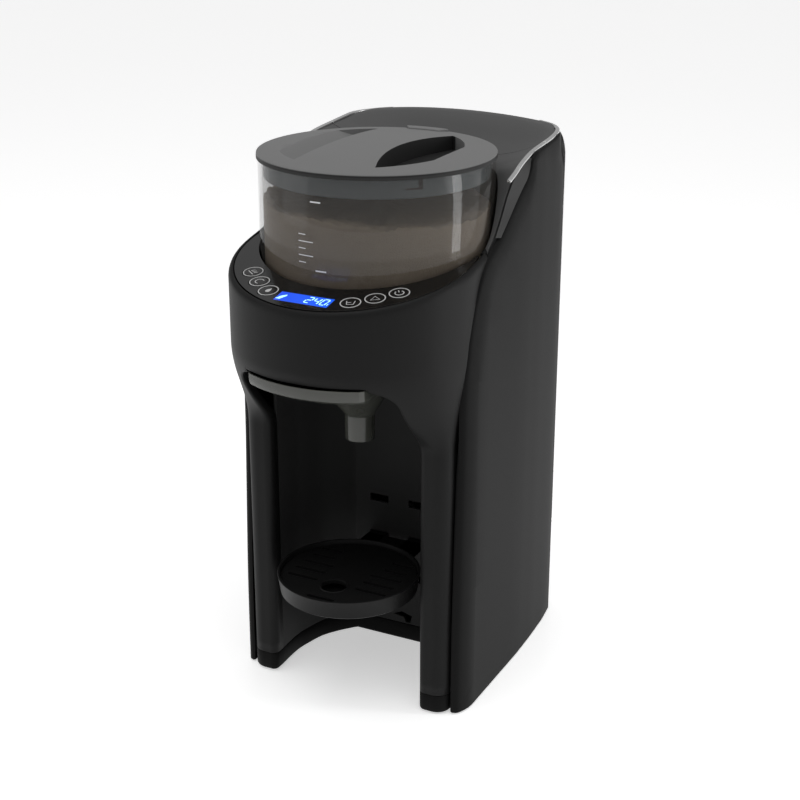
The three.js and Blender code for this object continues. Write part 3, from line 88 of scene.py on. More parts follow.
def sheet(bm, rows, closed=False):  # extrude a first row of edges step by step to the other rows
    verts = [bm.verts.new(p) for p in rows[0]]
    pairs = list(zip(verts, verts[1:] + verts[:1])) if closed else list(zip(verts, verts[1:]))
    edges = [bm.edges.new(pair) for pair in pairs]
    for row in rows[1:]:
        made = bmesh.ops.extrude_edge_only(bm, edges=edges)["geom"]
        fresh = {v for v in made if isinstance(v, bmesh.types.BMVert)}
        verts = [next(e.other_vert(v) for e in v.link_edges if e.other_vert(v) in fresh) for v in verts]
        for v, place in zip(verts, row):
            v.co = place
        pairs = list(zip(verts, verts[1:] + verts[:1])) if closed else list(zip(verts, verts[1:]))
        edges = [bm.edges.get(pair) for pair in pairs]
    return verts


def capped(rows):  # a closed skin with a face on both ends
    bm = bmesh.new()
    last = sheet(bm, rows, True)
    bm.verts.ensure_lookup_table()
    bm.faces.new(bm.verts[:len(rows[0])])
    bm.faces.new(last)
    return bm


def prism(outline, low, high, lying=False):  # an outline pushed upwards or, lying, to the rear
    bm = capped([[Vector((x, h, y) if lying else (x, y, h)) for x, y in outline] for h in (low, high)])
    bmesh.ops.recalc_face_normals(bm, faces=bm.faces)
    return bm


def circle(radius, x, y, count):
    turns = [2 * math.pi * i / count for i in range(count)]
    return [(x + radius * math.cos(t), y + radius * math.sin(t)) for t in turns]


def spun(profile, steps, x=0, y=0):  # a profile of (radius, height) turned about an upright axis
    bm = bmesh.new()
    verts = [bm.verts.new((x + r, y, z)) for r, z in profile]
    edges = [bm.edges.new(pair) for pair in zip(verts, verts[1:])]
    bmesh.ops.spin(bm, geom=verts + edges, cent=(x, y, 0), axis=(0, 0, 1), angle=2 * math.pi,
                   steps=steps, use_merge=True)
    bmesh.ops.remove_doubles(bm, verts=bm.verts, dist=0.002)
    bmesh.ops.recalc_face_normals(bm, faces=bm.faces)
    return bm


def block(x0, x1, y0, y1, z0, z1):
    bm = bmesh.new()
    bmesh.ops.create_cube(bm, size=1)
    bmesh.ops.scale(bm, vec=(x1 - x0, y1 - y0, z1 - z0), verts=bm.verts)
    bmesh.ops.translate(bm, vec=((x0 + x1) / 2, (y0 + y1) / 2, (z0 + z1) / 2), verts=bm.verts)
    return bm


def sliced(bm, spot, facing):  # new edges where a plane passes
    geometry = bm.verts[:] + bm.edges[:] + bm.faces[:]
    bmesh.ops.bisect_plane(bm, geom=geometry, plane_co=spot, plane_no=facing, dist=0.01)


def facingOut(bm):  # an open skin, with the normal of its foremost face to the front
    bmesh.ops.recalc_face_normals(bm, faces=bm.faces)
    foremost = min(bm.faces, key=lambda f: f.calc_center_median().y)
    if foremost.normal.y > 0:
        bmesh.ops.reverse_faces(bm, faces=bm.faces)


def loose(name, bm):
    mesh = bpy.data.meshes.new(name)
    bm.to_mesh(mesh)
    bm.free()
    made = bpy.data.objects.new(name, mesh)
    bpy.context.scene.collection.objects.link(made)
    return made


def carve(bm, *tools):
    work = loose("work", bm)
    cutters = [loose("tool", tool) for tool in tools]
    for cutter in cutters:
        step = work.modifiers.new("cut", "BOOLEAN")
        step.operation = "DIFFERENCE"
        step.solver = "EXACT"
        step.object = cutter
    bpy.context.view_layer.update()
    result = bpy.data.meshes.new_from_object(work.evaluated_get(bpy.context.evaluated_depsgraph_get()))
    out = bmesh.new()
    out.from_mesh(result)
    for spare in [work, *cutters]:
        old = spare.data
        bpy.data.objects.remove(spare)
        bpy.data.meshes.remove(old)
    bpy.data.meshes.remove(result)
    return out


def merged(*parts):  # several shapes in one mesh
    whole = bmesh.new()
    for part in parts:
        mesh = bpy.data.meshes.new("part")
        part.to_mesh(mesh)
        part.free()
        whole.from_mesh(mesh)
        bpy.data.meshes.remove(mesh)
    return whole


def finish(name, bm, body, paints, replaced="", wall=0, edge=0, angle=35):
    bmesh.ops.remove_doubles(bm, verts=bm.verts, dist=0.003)
    if not wall:
        bmesh.ops.recalc_face_normals(bm, faces=bm.faces)
    bmesh.ops.transform(bm, matrix=toFrame, verts=bm.verts)
    for face in bm.faces:
        face.smooth = True
    piece = loose(name, bm)
    for paint in paints if isinstance(paints, list) else [paints]:
        piece.data.materials.append(paint)
    unit = layout["unit"]
    if wall:
        shell = piece.modifiers.new("wall", "SOLIDIFY")
        shell.thickness = wall * unit
        shell.offset = -1
        shell.use_even_offset = False
    if edge:
        rounded = piece.modifiers.new("edge", "BEVEL")
        rounded.width = edge * unit
        rounded.segments = 3
        rounded.limit_method = "ANGLE"
        rounded.angle_limit = math.radians(angle)
        rounded.use_clamp_overlap = True
        weigh = piece.modifiers.new("shade", "WEIGHTED_NORMAL")
        weigh.keep_sharp = True
    else:
        piece.data.set_sharp_from_angle(angle=math.radians(angle))
    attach(piece, body)
    if replaced:
        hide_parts(replaced)


# materials
class Value:  # one socket of a paint, so that its maths reads as plain sums
    def __init__(self, paint, socket):
        self.paint, self.socket = paint, socket

    def sum(self, operation, a, b):
        return self.paint.node("ShaderNodeMath", {"operation": operation}, {0: a, 1: b})

    def __add__(self, other):
        return self.sum("ADD", self, other)

    def __radd__(self, other):
        return self.sum("ADD", other, self)

    def __mul__(self, other):
        return self.sum("MULTIPLY", self, other)

    def __rmul__(self, other):
        return self.sum("MULTIPLY", other, self)


class Paint:  # a material whose nodes come from one method
    def __init__(self, name, fixed):
        self.material = bpy.data.materials.new(name)
        self.material.use_nodes = True
        self.tree = self.material.node_tree
        self.shader = self.tree.nodes["Principled BSDF"]
        for socket, value in fixed.items():
            self.shader.inputs[socket].default_value = value

    def node(self, kind, settings=None, values=None, output=0):
        made = self.tree.nodes.new(kind)
        for key, value in (settings or {}).items():
            setattr(made, key, value)
        for key, value in (values or {}).items():
            if isinstance(value, Value):
                self.tree.links.new(value.socket, made.inputs[key])
            else:
                made.inputs[key].default_value = value
        return Value(self, made.outputs[output])

    def place(self):  # the piece's own coordinates, in metres
        return self.node("ShaderNodeTexCoord", output=3)

    def grain(self, scale, detail=3, rough=0.55):
        values = {"Vector": self.place(), "Scale": scale, "Detail": detail, "Roughness": rough}
        return self.node("ShaderNodeTexNoise", {}, values)

    def blend(self, share, a, b):
        return self.node("ShaderNodeMix", {"data_type": "RGBA"}, {0: share, 6: a, 7: b}, output=2)

    def feed(self, socket, value):
        self.tree.links.new(value.socket, self.shader.inputs[socket])

    def bump(self, height, strength, distance):
        values = {"Height": height, "Strength": strength, "Distance": distance}
        self.feed("Normal", self.node("ShaderNodeBump", {}, values))


def grey(level, tint=(1, 1, 1)):
    return (level * tint[0], level * tint[1], level * tint[2], 1)


def moulded(name, dark, light, rough, spread, grainScale, strength, shine=0.14):  # plastic or rubber
    paint = Paint(name, {"Specular IOR Level": shine})
    broad = paint.grain(14, 2)
    fine = paint.grain(grainScale, 2, 0.6)
    share = broad * 0.6 + fine * 0.4
    paint.feed("Base Color", paint.blend(share, dark, light))
    paint.feed("Roughness", fine * spread + (rough - spread / 2))
    paint.bump(fine, strength, 0.00012)
    return paint.material


def bare(name, dark, light, rough, stretch):  # metal with fine drawn lines
    paint = Paint(name, {"Metallic": 1.0})
    lines = paint.node("ShaderNodeMapping", {}, {"Vector": paint.place(), "Scale": stretch})
    values = {"Vector": lines, "Scale": 60, "Detail": 4, "Roughness": 0.6}
    drawn = paint.node("ShaderNodeTexNoise", {}, values)
    paint.feed("Base Color", paint.blend(drawn, dark, light))
    paint.feed("Roughness", drawn * 0.14 + (rough - 0.07))
    paint.bump(drawn, 0.12, 0.0001)
    return paint.material


def clearPlastic(name, colour, alpha, rough, cloud, gloss=0.55):  # smoked clear wall, drawn through its alpha
    paint = Paint(name, {"Specular IOR Level": gloss, "IOR": 1.49})
    haze = paint.grain(26, 3)
    paint.feed("Base Color", paint.blend(haze, colour, tuple(c * 1.35 for c in colour[:3]) + (1,)))
    paint.feed("Roughness", haze * 0.06 + rough)
    paint.feed("Alpha", haze * cloud + (alpha - cloud / 2))
    paint.bump(paint.grain(90, 2), 0.02, 0.0001)
    return paint.material


# name, darkest and lightest colour, roughness and its spread, scale of the grain, its strength, shine
shellBlack = moulded("shell_black", grey(0.0085), grey(0.0105), 0.5, 0.1, 1500, 0.14)
panelBlack = moulded("panel_black", grey(0.006), grey(0.008), 0.5, 0.08, 1700, 0.1, 0.08)
# painted light: black plastic lifted well above the shell's black to stand in for light in the shaded bay;
# every piece with this paint shares the lift
innerLitBlack = moulded("inner_black_painted_light", grey(0.03), grey(0.036), 0.55, 0.1, 1200, 0.14)
trayBlack = moulded("tray_black", grey(0.008), grey(0.011), 0.42, 0.1, 1300, 0.12)
lidGrey = moulded("lid_grey", grey(0.165), grey(0.185), 0.45, 0.08, 1500, 0.1)
# painted shade: a much darker copy of the lid's grey, for the steep side of the right recess and the rim's
# outer face
lidShade = moulded("lid_painted_shade", grey(0.018), grey(0.026), 0.45, 0.08, 1500, 0.1)
# painted light: the dark top deck and tank lid painted far lighter than the shell, standing in for the light
# on their upward faces
deckLitBlack = moulded("deck_black_painted_light", grey(0.086), grey(0.096), 0.5, 0.1, 1500, 0.12)
# painted light: the panel's chamfer painted lighter grey than the black panel, where the bevel catches the
# light
facetLitGrey = moulded("facet_painted_light", grey(0.04), grey(0.05), 0.4, 0.08, 1700, 0.08)
ringGloss = moulded("ring_gloss", grey(0.004), grey(0.006), 0.09, 0.03, 700, 0.01, 0.5)
keyGloss = moulded("key_gloss", grey(0.006), grey(0.009), 0.16, 0.04, 900, 0.02, 0.5)
inkGrey = moulded("ink_grey", grey(0.5), grey(0.62), 0.5, 0.1, 1200, 0.02)
markWhite = moulded("mark_white", grey(0.75), grey(0.85), 0.5, 0.1, 1200, 0.02)
warm, cool = (1, 1, 0.97), (0.9, 1, 1.05)
whitePart = moulded("white_part", grey(0.6, warm), grey(0.72, warm), 0.45, 0.1, 900, 0.06)
softGrey = moulded("soft_grey", grey(0.22, cool), grey(0.3, cool), 0.6, 0.12, 800, 0.06)
boardGreen = moulded("board_green", (0.012, 0.09, 0.035, 1), (0.02, 0.14, 0.05, 1), 0.35, 0.12, 500, 0.06)
rubberBlack = moulded("rubber_black", grey(0.008), grey(0.012), 0.8, 0.1, 1100, 0.2)
steelGrey = bare("steel_grey", grey(0.35), grey(0.5), 0.34, (1, 1, 18))
brightTrim = bare("bright_trim", grey(0.62), grey(0.8), 0.22, (1, 14, 14))
smokeWall = clearPlastic("smoke_wall", (0.05, 0.046, 0.04, 1), 0.26, 0.03, 0.06, 1.0)
tankWall = clearPlastic("tank_wall", (0.03, 0.032, 0.036, 1), 0.62, 0.06, 0.08)
skirtBlue = clearPlastic("skirt_blue", (0.085, 0.104, 0.115, 1), 0.93, 0.2, 0.04)
funnelSmoke = clearPlastic("funnel_smoke", (0.058, 0.06, 0.052, 1), 0.9, 0.2, 0.06)


def powderPaint():
    paint = Paint("milk_powder", {"Specular IOR Level": 0.2})
    coarse, fine = paint.grain(420, 4, 0.65), paint.grain(1500, 3, 0.7)
    dark, light = (0.2, 0.16, 0.12, 1), (0.46, 0.38, 0.29, 1)
    paint.feed("Base Color", paint.blend(coarse * 0.5 + fine * 0.5, dark, light))
    paint.feed("Roughness", fine * 0.1 + 0.85)
    paint.bump(coarse * 0.5 + fine * 0.5, 0.9, 0.0012)
    return paint.material


def screenPaint():  # backlit display, deeper blue to the left
    fixed = {"Base Color": (0.01, 0.02, 0.2, 1), "Roughness": 0.12, "Emission Strength": 1.0}
    paint = Paint("screen_blue", fixed)
    across = paint.node("ShaderNodeSeparateXYZ", {}, {"Vector": paint.place()})
    share = across * 30 + 0.5
    glow = paint.blend(share, (0.015, 0.07, 0.75, 1), (0.0, 0.1, 0.85, 1))
    cells = paint.grain(2200, 1)
    paint.feed("Emission Color", paint.blend(cells * 0.25, glow, (0.03, 0.2, 0.95, 1)))
    return paint.material


def glowPaint():
    paint = Paint("digit_glow", {"Base Color": (0.4, 0.7, 1, 1), "Roughness": 0.3, "Emission Strength": 1.0})
    paint.feed("Emission Color", paint.blend(paint.grain(1500, 1), (0.3, 0.75, 1, 1), (0.5, 0.9, 1, 1)))
    return paint.material


milkPowder = powderPaint()
screenBlue = screenPaint()
digitGlow = glowPaint()
print("materials made")

# side panels
panel = {
    "inner": 73.6, "flange": 70.2, "outer": 78.5, "round": 2.4, "crown": 2.2, "frontCrown": 4.6,
    "reach": 15.9, "bowLeast": 0.2, "front": [
        (-41, 0.7), (-41, 16), (-40.6, 57), (-39.6, 90), (-38.2, 127), (-37, 158), (-36.6, 182), (-36.4, 200),
        (-34.6, 217), (-31, 237), (-27.5, 250), (-23, 262.5), (-17, 273), (-9, 281)],
    "crest": [
        (0, 286), (8, 290), (15, 295), (23, 301), (31, 307), (39, 312.5), (46, 317), (50, 322), (52, 328)],
    "innerCrest": [
        (-1.5, 286), (4.5, 290.5), (9.5, 296), (13.5, 301), (18, 307), (23, 313), (30, 319.5), (39, 325.5),
        (50, 329)],
    "top": [(59, 331), (75, 332), (90, 333.2), (99, 334.2), (105, 333.6), (109.5, 330), (112, 323)],
    "rear": [(113, 312), (113, 200), (113, 60), (113, 0.7)],
    "tight": [((113, 334), 0.45, 8, 34), ((56, 329), 0.3, 3, 28)],
    "bow": [(-60, 78.5), (45, 78.5), (70, 77.6), (92, 76.2), (104, 75.2), (113, 73.6)],
    "footHigh": 17, "footTurn": (18, 14, 10, 7, 4.5, 2.4, 1.4, 0.7), "innerInset": 2.5, "flangeInset": 0.3,
    "flangeRise": (150, 225), "rows": (0.0, 0.25, 0.7, 1.4, 2.4, 4.5, 7.5, 11), "crownFade": (-36, -16),
    "backFrom": (98, 111), "backBelow": (316, 333), "backShare": 0.15,
    "topFrom": (318, 330), "topUntil": (98, 112), "topShare": 0.6,
    "shoulder": 3.6, "shoulderY": (97, 113), "shoulderZ": (308, 332),
    "cutsY": (-24, -10, 10, 30, 45, 52, 58, 64, 70, 76, 82, 88, 93), "cutsZ": range(40, 320, 20),
}


def along(table, value):
    for (a, x), (b, y) in zip(table, table[1:]):
        if value <= b:
            return mix(x, y, min(max((value - a) / (b - a), 0), 1))
    return table[-1][1]


def panelOutline(crest):
    front = through(panel["front"] + crest[:1], 5)[:-1]
    middle = through(crest + panel["top"][:1], 6)[:-1]
    top = through(panel["top"] + panel["rear"][:1], 5)[:-1]
    rear = [Vector(p) for p in panel["rear"]]
    widest, *turn = panel["footTurn"]
    foot = evenSteps(rear[-1].x, front[0].x + widest, 8)[1:] + [front[0].x + d for d in turn]
    bottom = [Vector((x, front[0].y)) for x in foot]
    return front + middle + top + rear + bottom


def insetLine(line, distance, share=lambda p: 1):  # inward offset of a closed outline
    moved = []
    for i, p in enumerate(line):
        a, b = line[i - 1], line[(i + 1) % len(line)]
        before, after = (p - a).normalized(), (b - p).normalized()
        n1, n2 = Vector((before.y, -before.x)), Vector((after.y, -after.x))
        n = (n1 + n2).normalized()
        moved.append(p + n * distance * share(p) / max(n.dot(n1), 0.6))
    return moved


def closeness(p):  # the inset rows draw together near the two tight corners of the top edge
    shares = []
    for spot, low, near, far in panel["tight"]:
        shares.append(mix(low, 1, ease(near, far, (p - Vector(spot)).length)))
    return min(shares)


def panelRow(line, distance):  # inset outline, square at the foot
    back, (nose, floor) = panel["rear"][-1][0], panel["front"][0]
    row = []
    for p, q in zip(line, insetLine(line, distance, closeness)):
        if p.y < panel["footHigh"]:
            q = Vector((min(max(p.x, nose + distance), back - distance), max(p.y, floor + distance)))
        row.append(q)
    return row


def makePanel(side, name):
    outer, inner = panelOutline(panel["crest"]), panelOutline(panel["innerCrest"])
    edge, reach, (nose, floor) = panel["round"], panel["reach"], panel["front"][0]

    def level(distance, p, q):
        if p.y < floor + 0.1:  # the foot is rounded only towards the front
            distance = min(q.x - nose, reach)
        # the rear edge lies flush with the tank
        atBack = ease(*panel["backFrom"], p.x) * (1 - ease(*panel["backBelow"], p.y))
        onTop = ease(*panel["topFrom"], p.y) * (1 - ease(*panel["topUntil"], p.x))
        crown = mix(panel["frontCrown"], panel["crown"], ease(*panel["crownFade"], p.x))
        fall = crown * (1 - distance / reach) ** 2
        turn = edge - min(distance, edge)
        share = mix(1, panel["backShare"], atBack) * mix(1, panel["topShare"], onTop)
        return panel["outer"] - (fall + edge - math.sqrt(edge * edge - turn * turn)) * share

    def flangeAt(z):
        return mix(panel["flange"], panel["inner"], ease(*panel["flangeRise"], z))

    rows = [[Vector((panel["inner"], p.x, p.y)) for p in panelRow(inner, panel["innerInset"])]]
    rows.append([Vector((flangeAt(p.y), p.x, p.y)) for p in panelRow(inner, panel["flangeInset"])])
    for distance in (*panel["rows"], reach):
        pairs = zip(outer, panelRow(outer, distance))
        rows.append([Vector((level(distance, p, q), q.x, q.y)) for p, q in pairs])
    bm = capped(rows)
    for y in panel["cutsY"]:
        sliced(bm, (0, y, 0), (0, 1, 0))
    for z in panel["cutsZ"]:
        sliced(bm, (0, 0, z), (0, 0, 1))
    for v in bm.verts:
        bow = along(panel["bow"], v.co.y) - panel["outer"]
        share = (v.co.x - panel["inner"]) / (panel["outer"] - panel["inner"])
        rise = panel["shoulder"] * ease(*panel["shoulderY"], v.co.y)
        shoulder = rise * ease(*panel["shoulderZ"], v.co.z) * share
        v.co.x = (v.co.x + bow * max(share, panel["bowLeast"]) - shoulder) * side
    finish(name + "_panel", bm, "machine", panelBlack, name + "_side_panel", angle=32)


# a sheet of painted light on the chamfer between the two crests, lighter than the panel: how far its edges
# lie inward or outward, forward and above
facet = {"outerX": 2.4, "outerY": 0.2, "innerX": 0.5, "innerY": 0.25, "above": 0.12}


def makeFacet(side, name):
    outer = through(panel["crest"][1:], 6)
    inner = through(panel["innerCrest"][1:], 6)
    above = facet["above"]
    rows = [[], []]
    for p, q in zip(outer, inner):
        outerX, innerX = along(panel["bow"], p.x) - facet["outerX"], panel["inner"] + facet["innerX"]
        rows[0].append(Vector((side * outerX, p.x - facet["outerY"], p.y + above)))
        rows[1].append(Vector((side * innerX, q.x - facet["innerY"], q.y + above)))
    flat = bmesh.new()
    sheet(flat, rows)
    finish(name + "_facet", flat, "machine", facetLitGrey)


trim = {
    "side": [(74.6, 21, 320.6), (74.6, 30, 323.6), (74.5, 39, 327.2), (74.3, 50, 330.1), (74, 60, 331.7),
             (73.6, 76.4, 333)],
    "corner": [(73.6, 76.9, 333), (73.2, 90, 334), (72, 101, 335.1), (69.6, 108.5, 335.4),
               (66.9, 113.4, 335.5), (64.6, 116.6, 335.6), (61.2, 119.4, 335.9), (56.5, 121.4, 336.3),
               (52, 122.2, 336.8)],
    "section": [(-1.4, -0.9), (-1.3, 0.2), (-0.8, 0.5), (0.8, 0.5), (1.3, 0.2), (1.4, -0.9)],
}


def makeTrim(side, name):  # bright strip on the upper inner edge, and its end round the rear corner
    for part, body, node in (("side", "machine", name + "_accent_strip"), ("corner", "tank_cover", "")):
        line = through(trim[part], 6)
        rows = []
        for i, p in enumerate(line):
            run = line[min(i + 1, len(line) - 1)] - line[max(i - 1, 0)]
            across = Vector((run.y, -run.x, 0)).normalized()
            row = []
            for reach, lift in trim["section"]:
                spot = p + across * reach
                row.append(Vector((side * spot.x, spot.y, p.z + lift)))
            rows.append(row)
        finish(name + "_trim_" + part, capped(rows), body, brightTrim, node, edge=0.2)


for side, name in ((-1, "left"), (1, "right")):
    makePanel(side, name)
    makeFacet(side, name)
    makeTrim(side, name)
print("side panels made")

# head and pillars
head = {
    "radius": 75, "centreY": -25, "frontY": -100, "pillarFront": -46.6, "pillarHalf": 69, "pillarRound": 9.2,
    "blendLow": 171, "blendHigh": 230, "foot": 13, "behindPanel": 73.2, "rear": -1,
    "bayHalf": 50.6, "bayCorner": 15, "bayCornerZ": 206, "notchHalf": 38.2, "notchTop": 222,
    "ringZ": 271, "ringSlope": 0.2, "ringBore": 70.8, "wall": 2.4, "ringAbove": 0.5,
    "lip": (4.2, 1.3), "lipBlend": (165, 205), "lipTurns": 6, "lipBack": 5.4, "across": 44, "stepX": 0.8,
    "seamGap": 0.35, "seamBlend": (0.4, 0.65), "straight": (20, 150, 9), "bend": 153, "bendRows": 44,
    "brow": 238, "browRows": 10, "crown": 282, "crownRows": 12, "crownDrop": -4.2,
    "shoulder": [(0.12, -3.0), (0.45, -1.9), (1.0, -0.9), (1.7, -0.25), (2.5, 0.0), (3.0, -0.2), (3.1, -1.2),
                 (3.1, -3.4)],
}


def ringHeight(y):
    return head["ringZ"] + head["ringSlope"] * (y + head["ringBore"])


def sectionAt(z):
    s = ease(head["blendLow"], head["blendHigh"], z)
    half = mix(head["pillarHalf"], head["radius"], s)
    corner = mix(head["pillarRound"], head["radius"], s)
    front = mix(head["pillarFront"], head["frontY"], s)
    return s, half, corner, front


def frontAt(x, z):
    _, half, corner, front = sectionAt(z)
    over = abs(x) - (half - corner)
    if over <= 0:
        return front
    return front + corner - math.sqrt(max(corner * corner - over * over, 0))


def panelFrontAt(z):
    line = panel["front"] + panel["crest"]
    for (y0, z0), (y1, z1) in zip(line, line[1:]):
        if z <= z1:
            return mix(y0, y1, (z - z0) / (z1 - z0)) if z1 > z0 else y0
    return line[-1][0]


def bayEdge(z):  # half width of the opening at a height
    over = z - head["bayCornerZ"]
    if over <= 0:
        return head["bayHalf"]
    r = head["bayCorner"]
    return max(head["bayHalf"] - r + math.sqrt(max(r * r - over * over, 0)), head["notchHalf"])


def lipAt(z):  # how far the opening's edge is rounded
    return mix(*head["lip"], ease(*head["lipBlend"], z))


def shellRow(z, edge):  # from the opening's edge round to behind the side panel
    s, half, corner, front = sectionAt(z)
    dense = []
    flatEnd = half - corner
    x = edge
    while x < flatEnd:
        dense.append(Vector((x, front)))
        x += head["stepX"]
    startTurn = math.asin(min(max((max(edge, flatEnd) - flatEnd) / corner, 0), 1))
    for turn in evenSteps(startTurn, math.pi / 2, 60):
        dense.append(Vector((flatEnd + corner * math.sin(turn), front + corner - corner * math.cos(turn))))
    dense += [Vector((half, y)) for y in evenSteps(front + corner, head["rear"], 20)[1:]]
    seam = panelFrontAt(z) - head["seamGap"]
    stop = mix(max(seam, front + corner), seam, ease(*head["seamBlend"], s))
    first = [p for p in dense if p.y < stop]
    after = [p for p in dense if p.y >= stop]
    if first and after:
        a, b = first[-1], after[0]
        first.append(a.lerp(b, (stop - a.y) / (b.y - a.y) if b.y > a.y else 0))
    ahead = evenly(first, head["across"])
    limit = head["behindPanel"]
    tail = [Vector((min(ahead[-1].x, limit), mix(stop, head["rear"], share))) for share in (0, 0.35, 0.7, 1)]
    return ahead + tail


def topZ(y):
    return ringHeight(y) + head["ringAbove"]


def towardsAxis(p, distance):
    centre = Vector((0, head["centreY"]))
    if p.y < centre.y:
        return p + (centre - p).normalized() * distance
    return Vector((p.x - math.copysign(distance, p.x), p.y)) if abs(p.x) > 1 else p


def makeShell():
    bm = bmesh.new()
    lip = lipAt(head["notchTop"])
    top, notch, brow, crown = head["notchTop"] + lip, head["notchHalf"] + lip, head["brow"], head["crown"]
    low = [head["foot"], *evenSteps(*head["straight"]), *evenSteps(head["bend"], top - 0.6, head["bendRows"])]
    high = evenSteps(top, brow, head["browRows"])
    rightRows = [[Vector((p.x, p.y, z)) for p in shellRow(z, bayEdge(z) + lipAt(z))] for z in low]
    rightRows += [[Vector((p.x, p.y, z)) for p in shellRow(z, notch)] for z in high]
    middle = evenSteps(-notch, notch, 36)
    middleRows = [[Vector((x, frontAt(x, z), z)) for x in middle] for z in high]
    centre = [Vector((x, frontAt(x, brow))) for x in middle]
    for share in evenSteps(0, 1, head["crownRows"])[1:]:
        right = shellRow(mix(brow, crown, share), notch)
        for source, rows in ((right, rightRows), (centre, middleRows)):
            rows.append([Vector((p.x, p.y, mix(brow, topZ(p.y) + head["crownDrop"], share))) for p in source])
    for distance, drop in head["shoulder"]:
        for source, rows in ((right, rightRows), (centre, middleRows)):
            moved = [towardsAxis(p, distance) for p in source]
            rows.append([Vector((m.x, m.y, topZ(p.y) + drop)) for p, m in zip(source, moved)])
    sheet(bm, rightRows)
    sheet(bm, [[Vector((-p.x, p.y, p.z)) for p in row] for row in rightRows])
    sheet(bm, middleRows)
    # rounded lip that turns back into the bay all round the opening
    jamb = [row[0] for row in rightRows[:len(low)]]
    rim = jamb + list(reversed(middleRows[0])) + [Vector((-p.x, p.y, p.z)) for p in reversed(jamb)]
    last = head["lipTurns"] + 1
    turned = [[] for _ in range(last + 1)]
    for i, p in enumerate(rim):
        a, b = rim[max(i - 1, 0)], rim[min(i + 1, len(rim) - 1)]
        run = Vector((b.x - a.x, b.z - a.z)).normalized()
        toBay = Vector((-run.y, run.x))
        r = lipAt(p.z)
        for k, row in enumerate(turned):
            turn = math.pi / 2 * min(k, head["lipTurns"]) / head["lipTurns"]
            sine = math.sin(turn)
            back = r * (1 - math.cos(turn)) + (head["lipBack"] if k == last else 0)
            row.append(Vector((p.x + toBay.x * r * sine, p.y + back, p.z + toBay.y * r * sine)))
    sheet(bm, turned)
    bmesh.ops.remove_doubles(bm, verts=bm.verts, dist=0.02)
    facingOut(bm)
    finish("head_shell", bm, "machine", shellBlack, "front_shell", wall=head["wall"], angle=50)


makeShell()
print("head shell made")

# bay liner, base and feet
bay = {
    "wall": 2, "low": 13, "high": 221.7, "backY": 27.5, "backX": 31, "slotHalf": 6.6, "slotX": 14,
    "cutAhead": 12, "cutBehind": 6, "tubeHole": (3.4, 18, 213.4),
    "slots": [(71.6, 76.8), (45, 50), (98, 103)],
    "side": [(50.6, -37.2), (50.9, -32), (51.2, -25), (51.1, -16), (49.9, -8.3), (46.2, 6.2), (39.9, 17),
             (32.4, 26.3)],
    "keyhole": [(-3.6, 18.6), (2.5, 21.2), (9.9, 19.2), (8.6, 14), (5.4, 14), (4.2, 17.4)],
}


def linerLine(offset):  # plan of the bay's wall from its right edge round the back to its left edge
    side = through(bay["side"], 5) + [Vector((bay["backX"], bay["backY"])), Vector((0, bay["backY"]))]
    half = []
    for i, p in enumerate(side):
        run = (side[min(i + 1, len(side) - 1)] - side[max(i - 1, 0)]).normalized()
        half.append(p + Vector((run.y, -run.x)) * offset)
    return half + [Vector((-p.x, p.y)) for p in reversed(half[:-1])]


def makeLiner():
    wall = prism(linerLine(bay["wall"]) + list(reversed(linerLine(0))), bay["low"], bay["high"])
    front, rear = bay["backY"] - bay["cutAhead"], bay["backY"] + bay["cutBehind"]
    tools = []
    for low, high in bay["slots"]:
        for side in (-1, 1):
            x = side * bay["slotX"]
            tools.append(block(x - bay["slotHalf"], x + bay["slotHalf"], front, rear, low, high))
    tools.append(prism(circle(*bay["tubeHole"], 32), front, rear, lying=True))
    tools.append(prism(bay["keyhole"], front, rear, lying=True))
    finish("bay_wall", carve(wall, *tools), "machine", innerLitBlack, "bay_liner", edge=0.3)


base = {
    "low": 0.5, "high": 12.7, "round": 2.2, "roundRows": 6, "topRound": 0.4, "inLip": 4.2,
    "sideX": 72.6, "legEnd": -14, "sideY": (-4, 113),
    "rear": [(73.5, 113.4), (72.2, 117), (68.5, 122), (60, 126), (40, 127.6), (0, 128)], "rearHalf": 74,
    "pad": [(0, 0.02), (6.2, 0.02), (6.8, 0.2), (7, 0.45), (2.6, 0.45), (2.6, 5.4), (2.2, 5.7), (0, 5.7)],
    "pads": {"front_left": (-60, -36), "front_right": (60, -36),
             "rear_left": (-54, 106), "rear_right": (54, 106)},
}


def rearLine(inset):  # right half of the plan behind the side panels
    return [Vector((p.x * (1 - inset / base["rearHalf"]), p.y - inset)) for p in through(base["rear"], 6)]


def mirroredPlan(half):  # a plan drawn on the right, closed on the left
    return half + [Vector((-p.x, p.y)) for p in reversed(half) if p.x > 0.01]


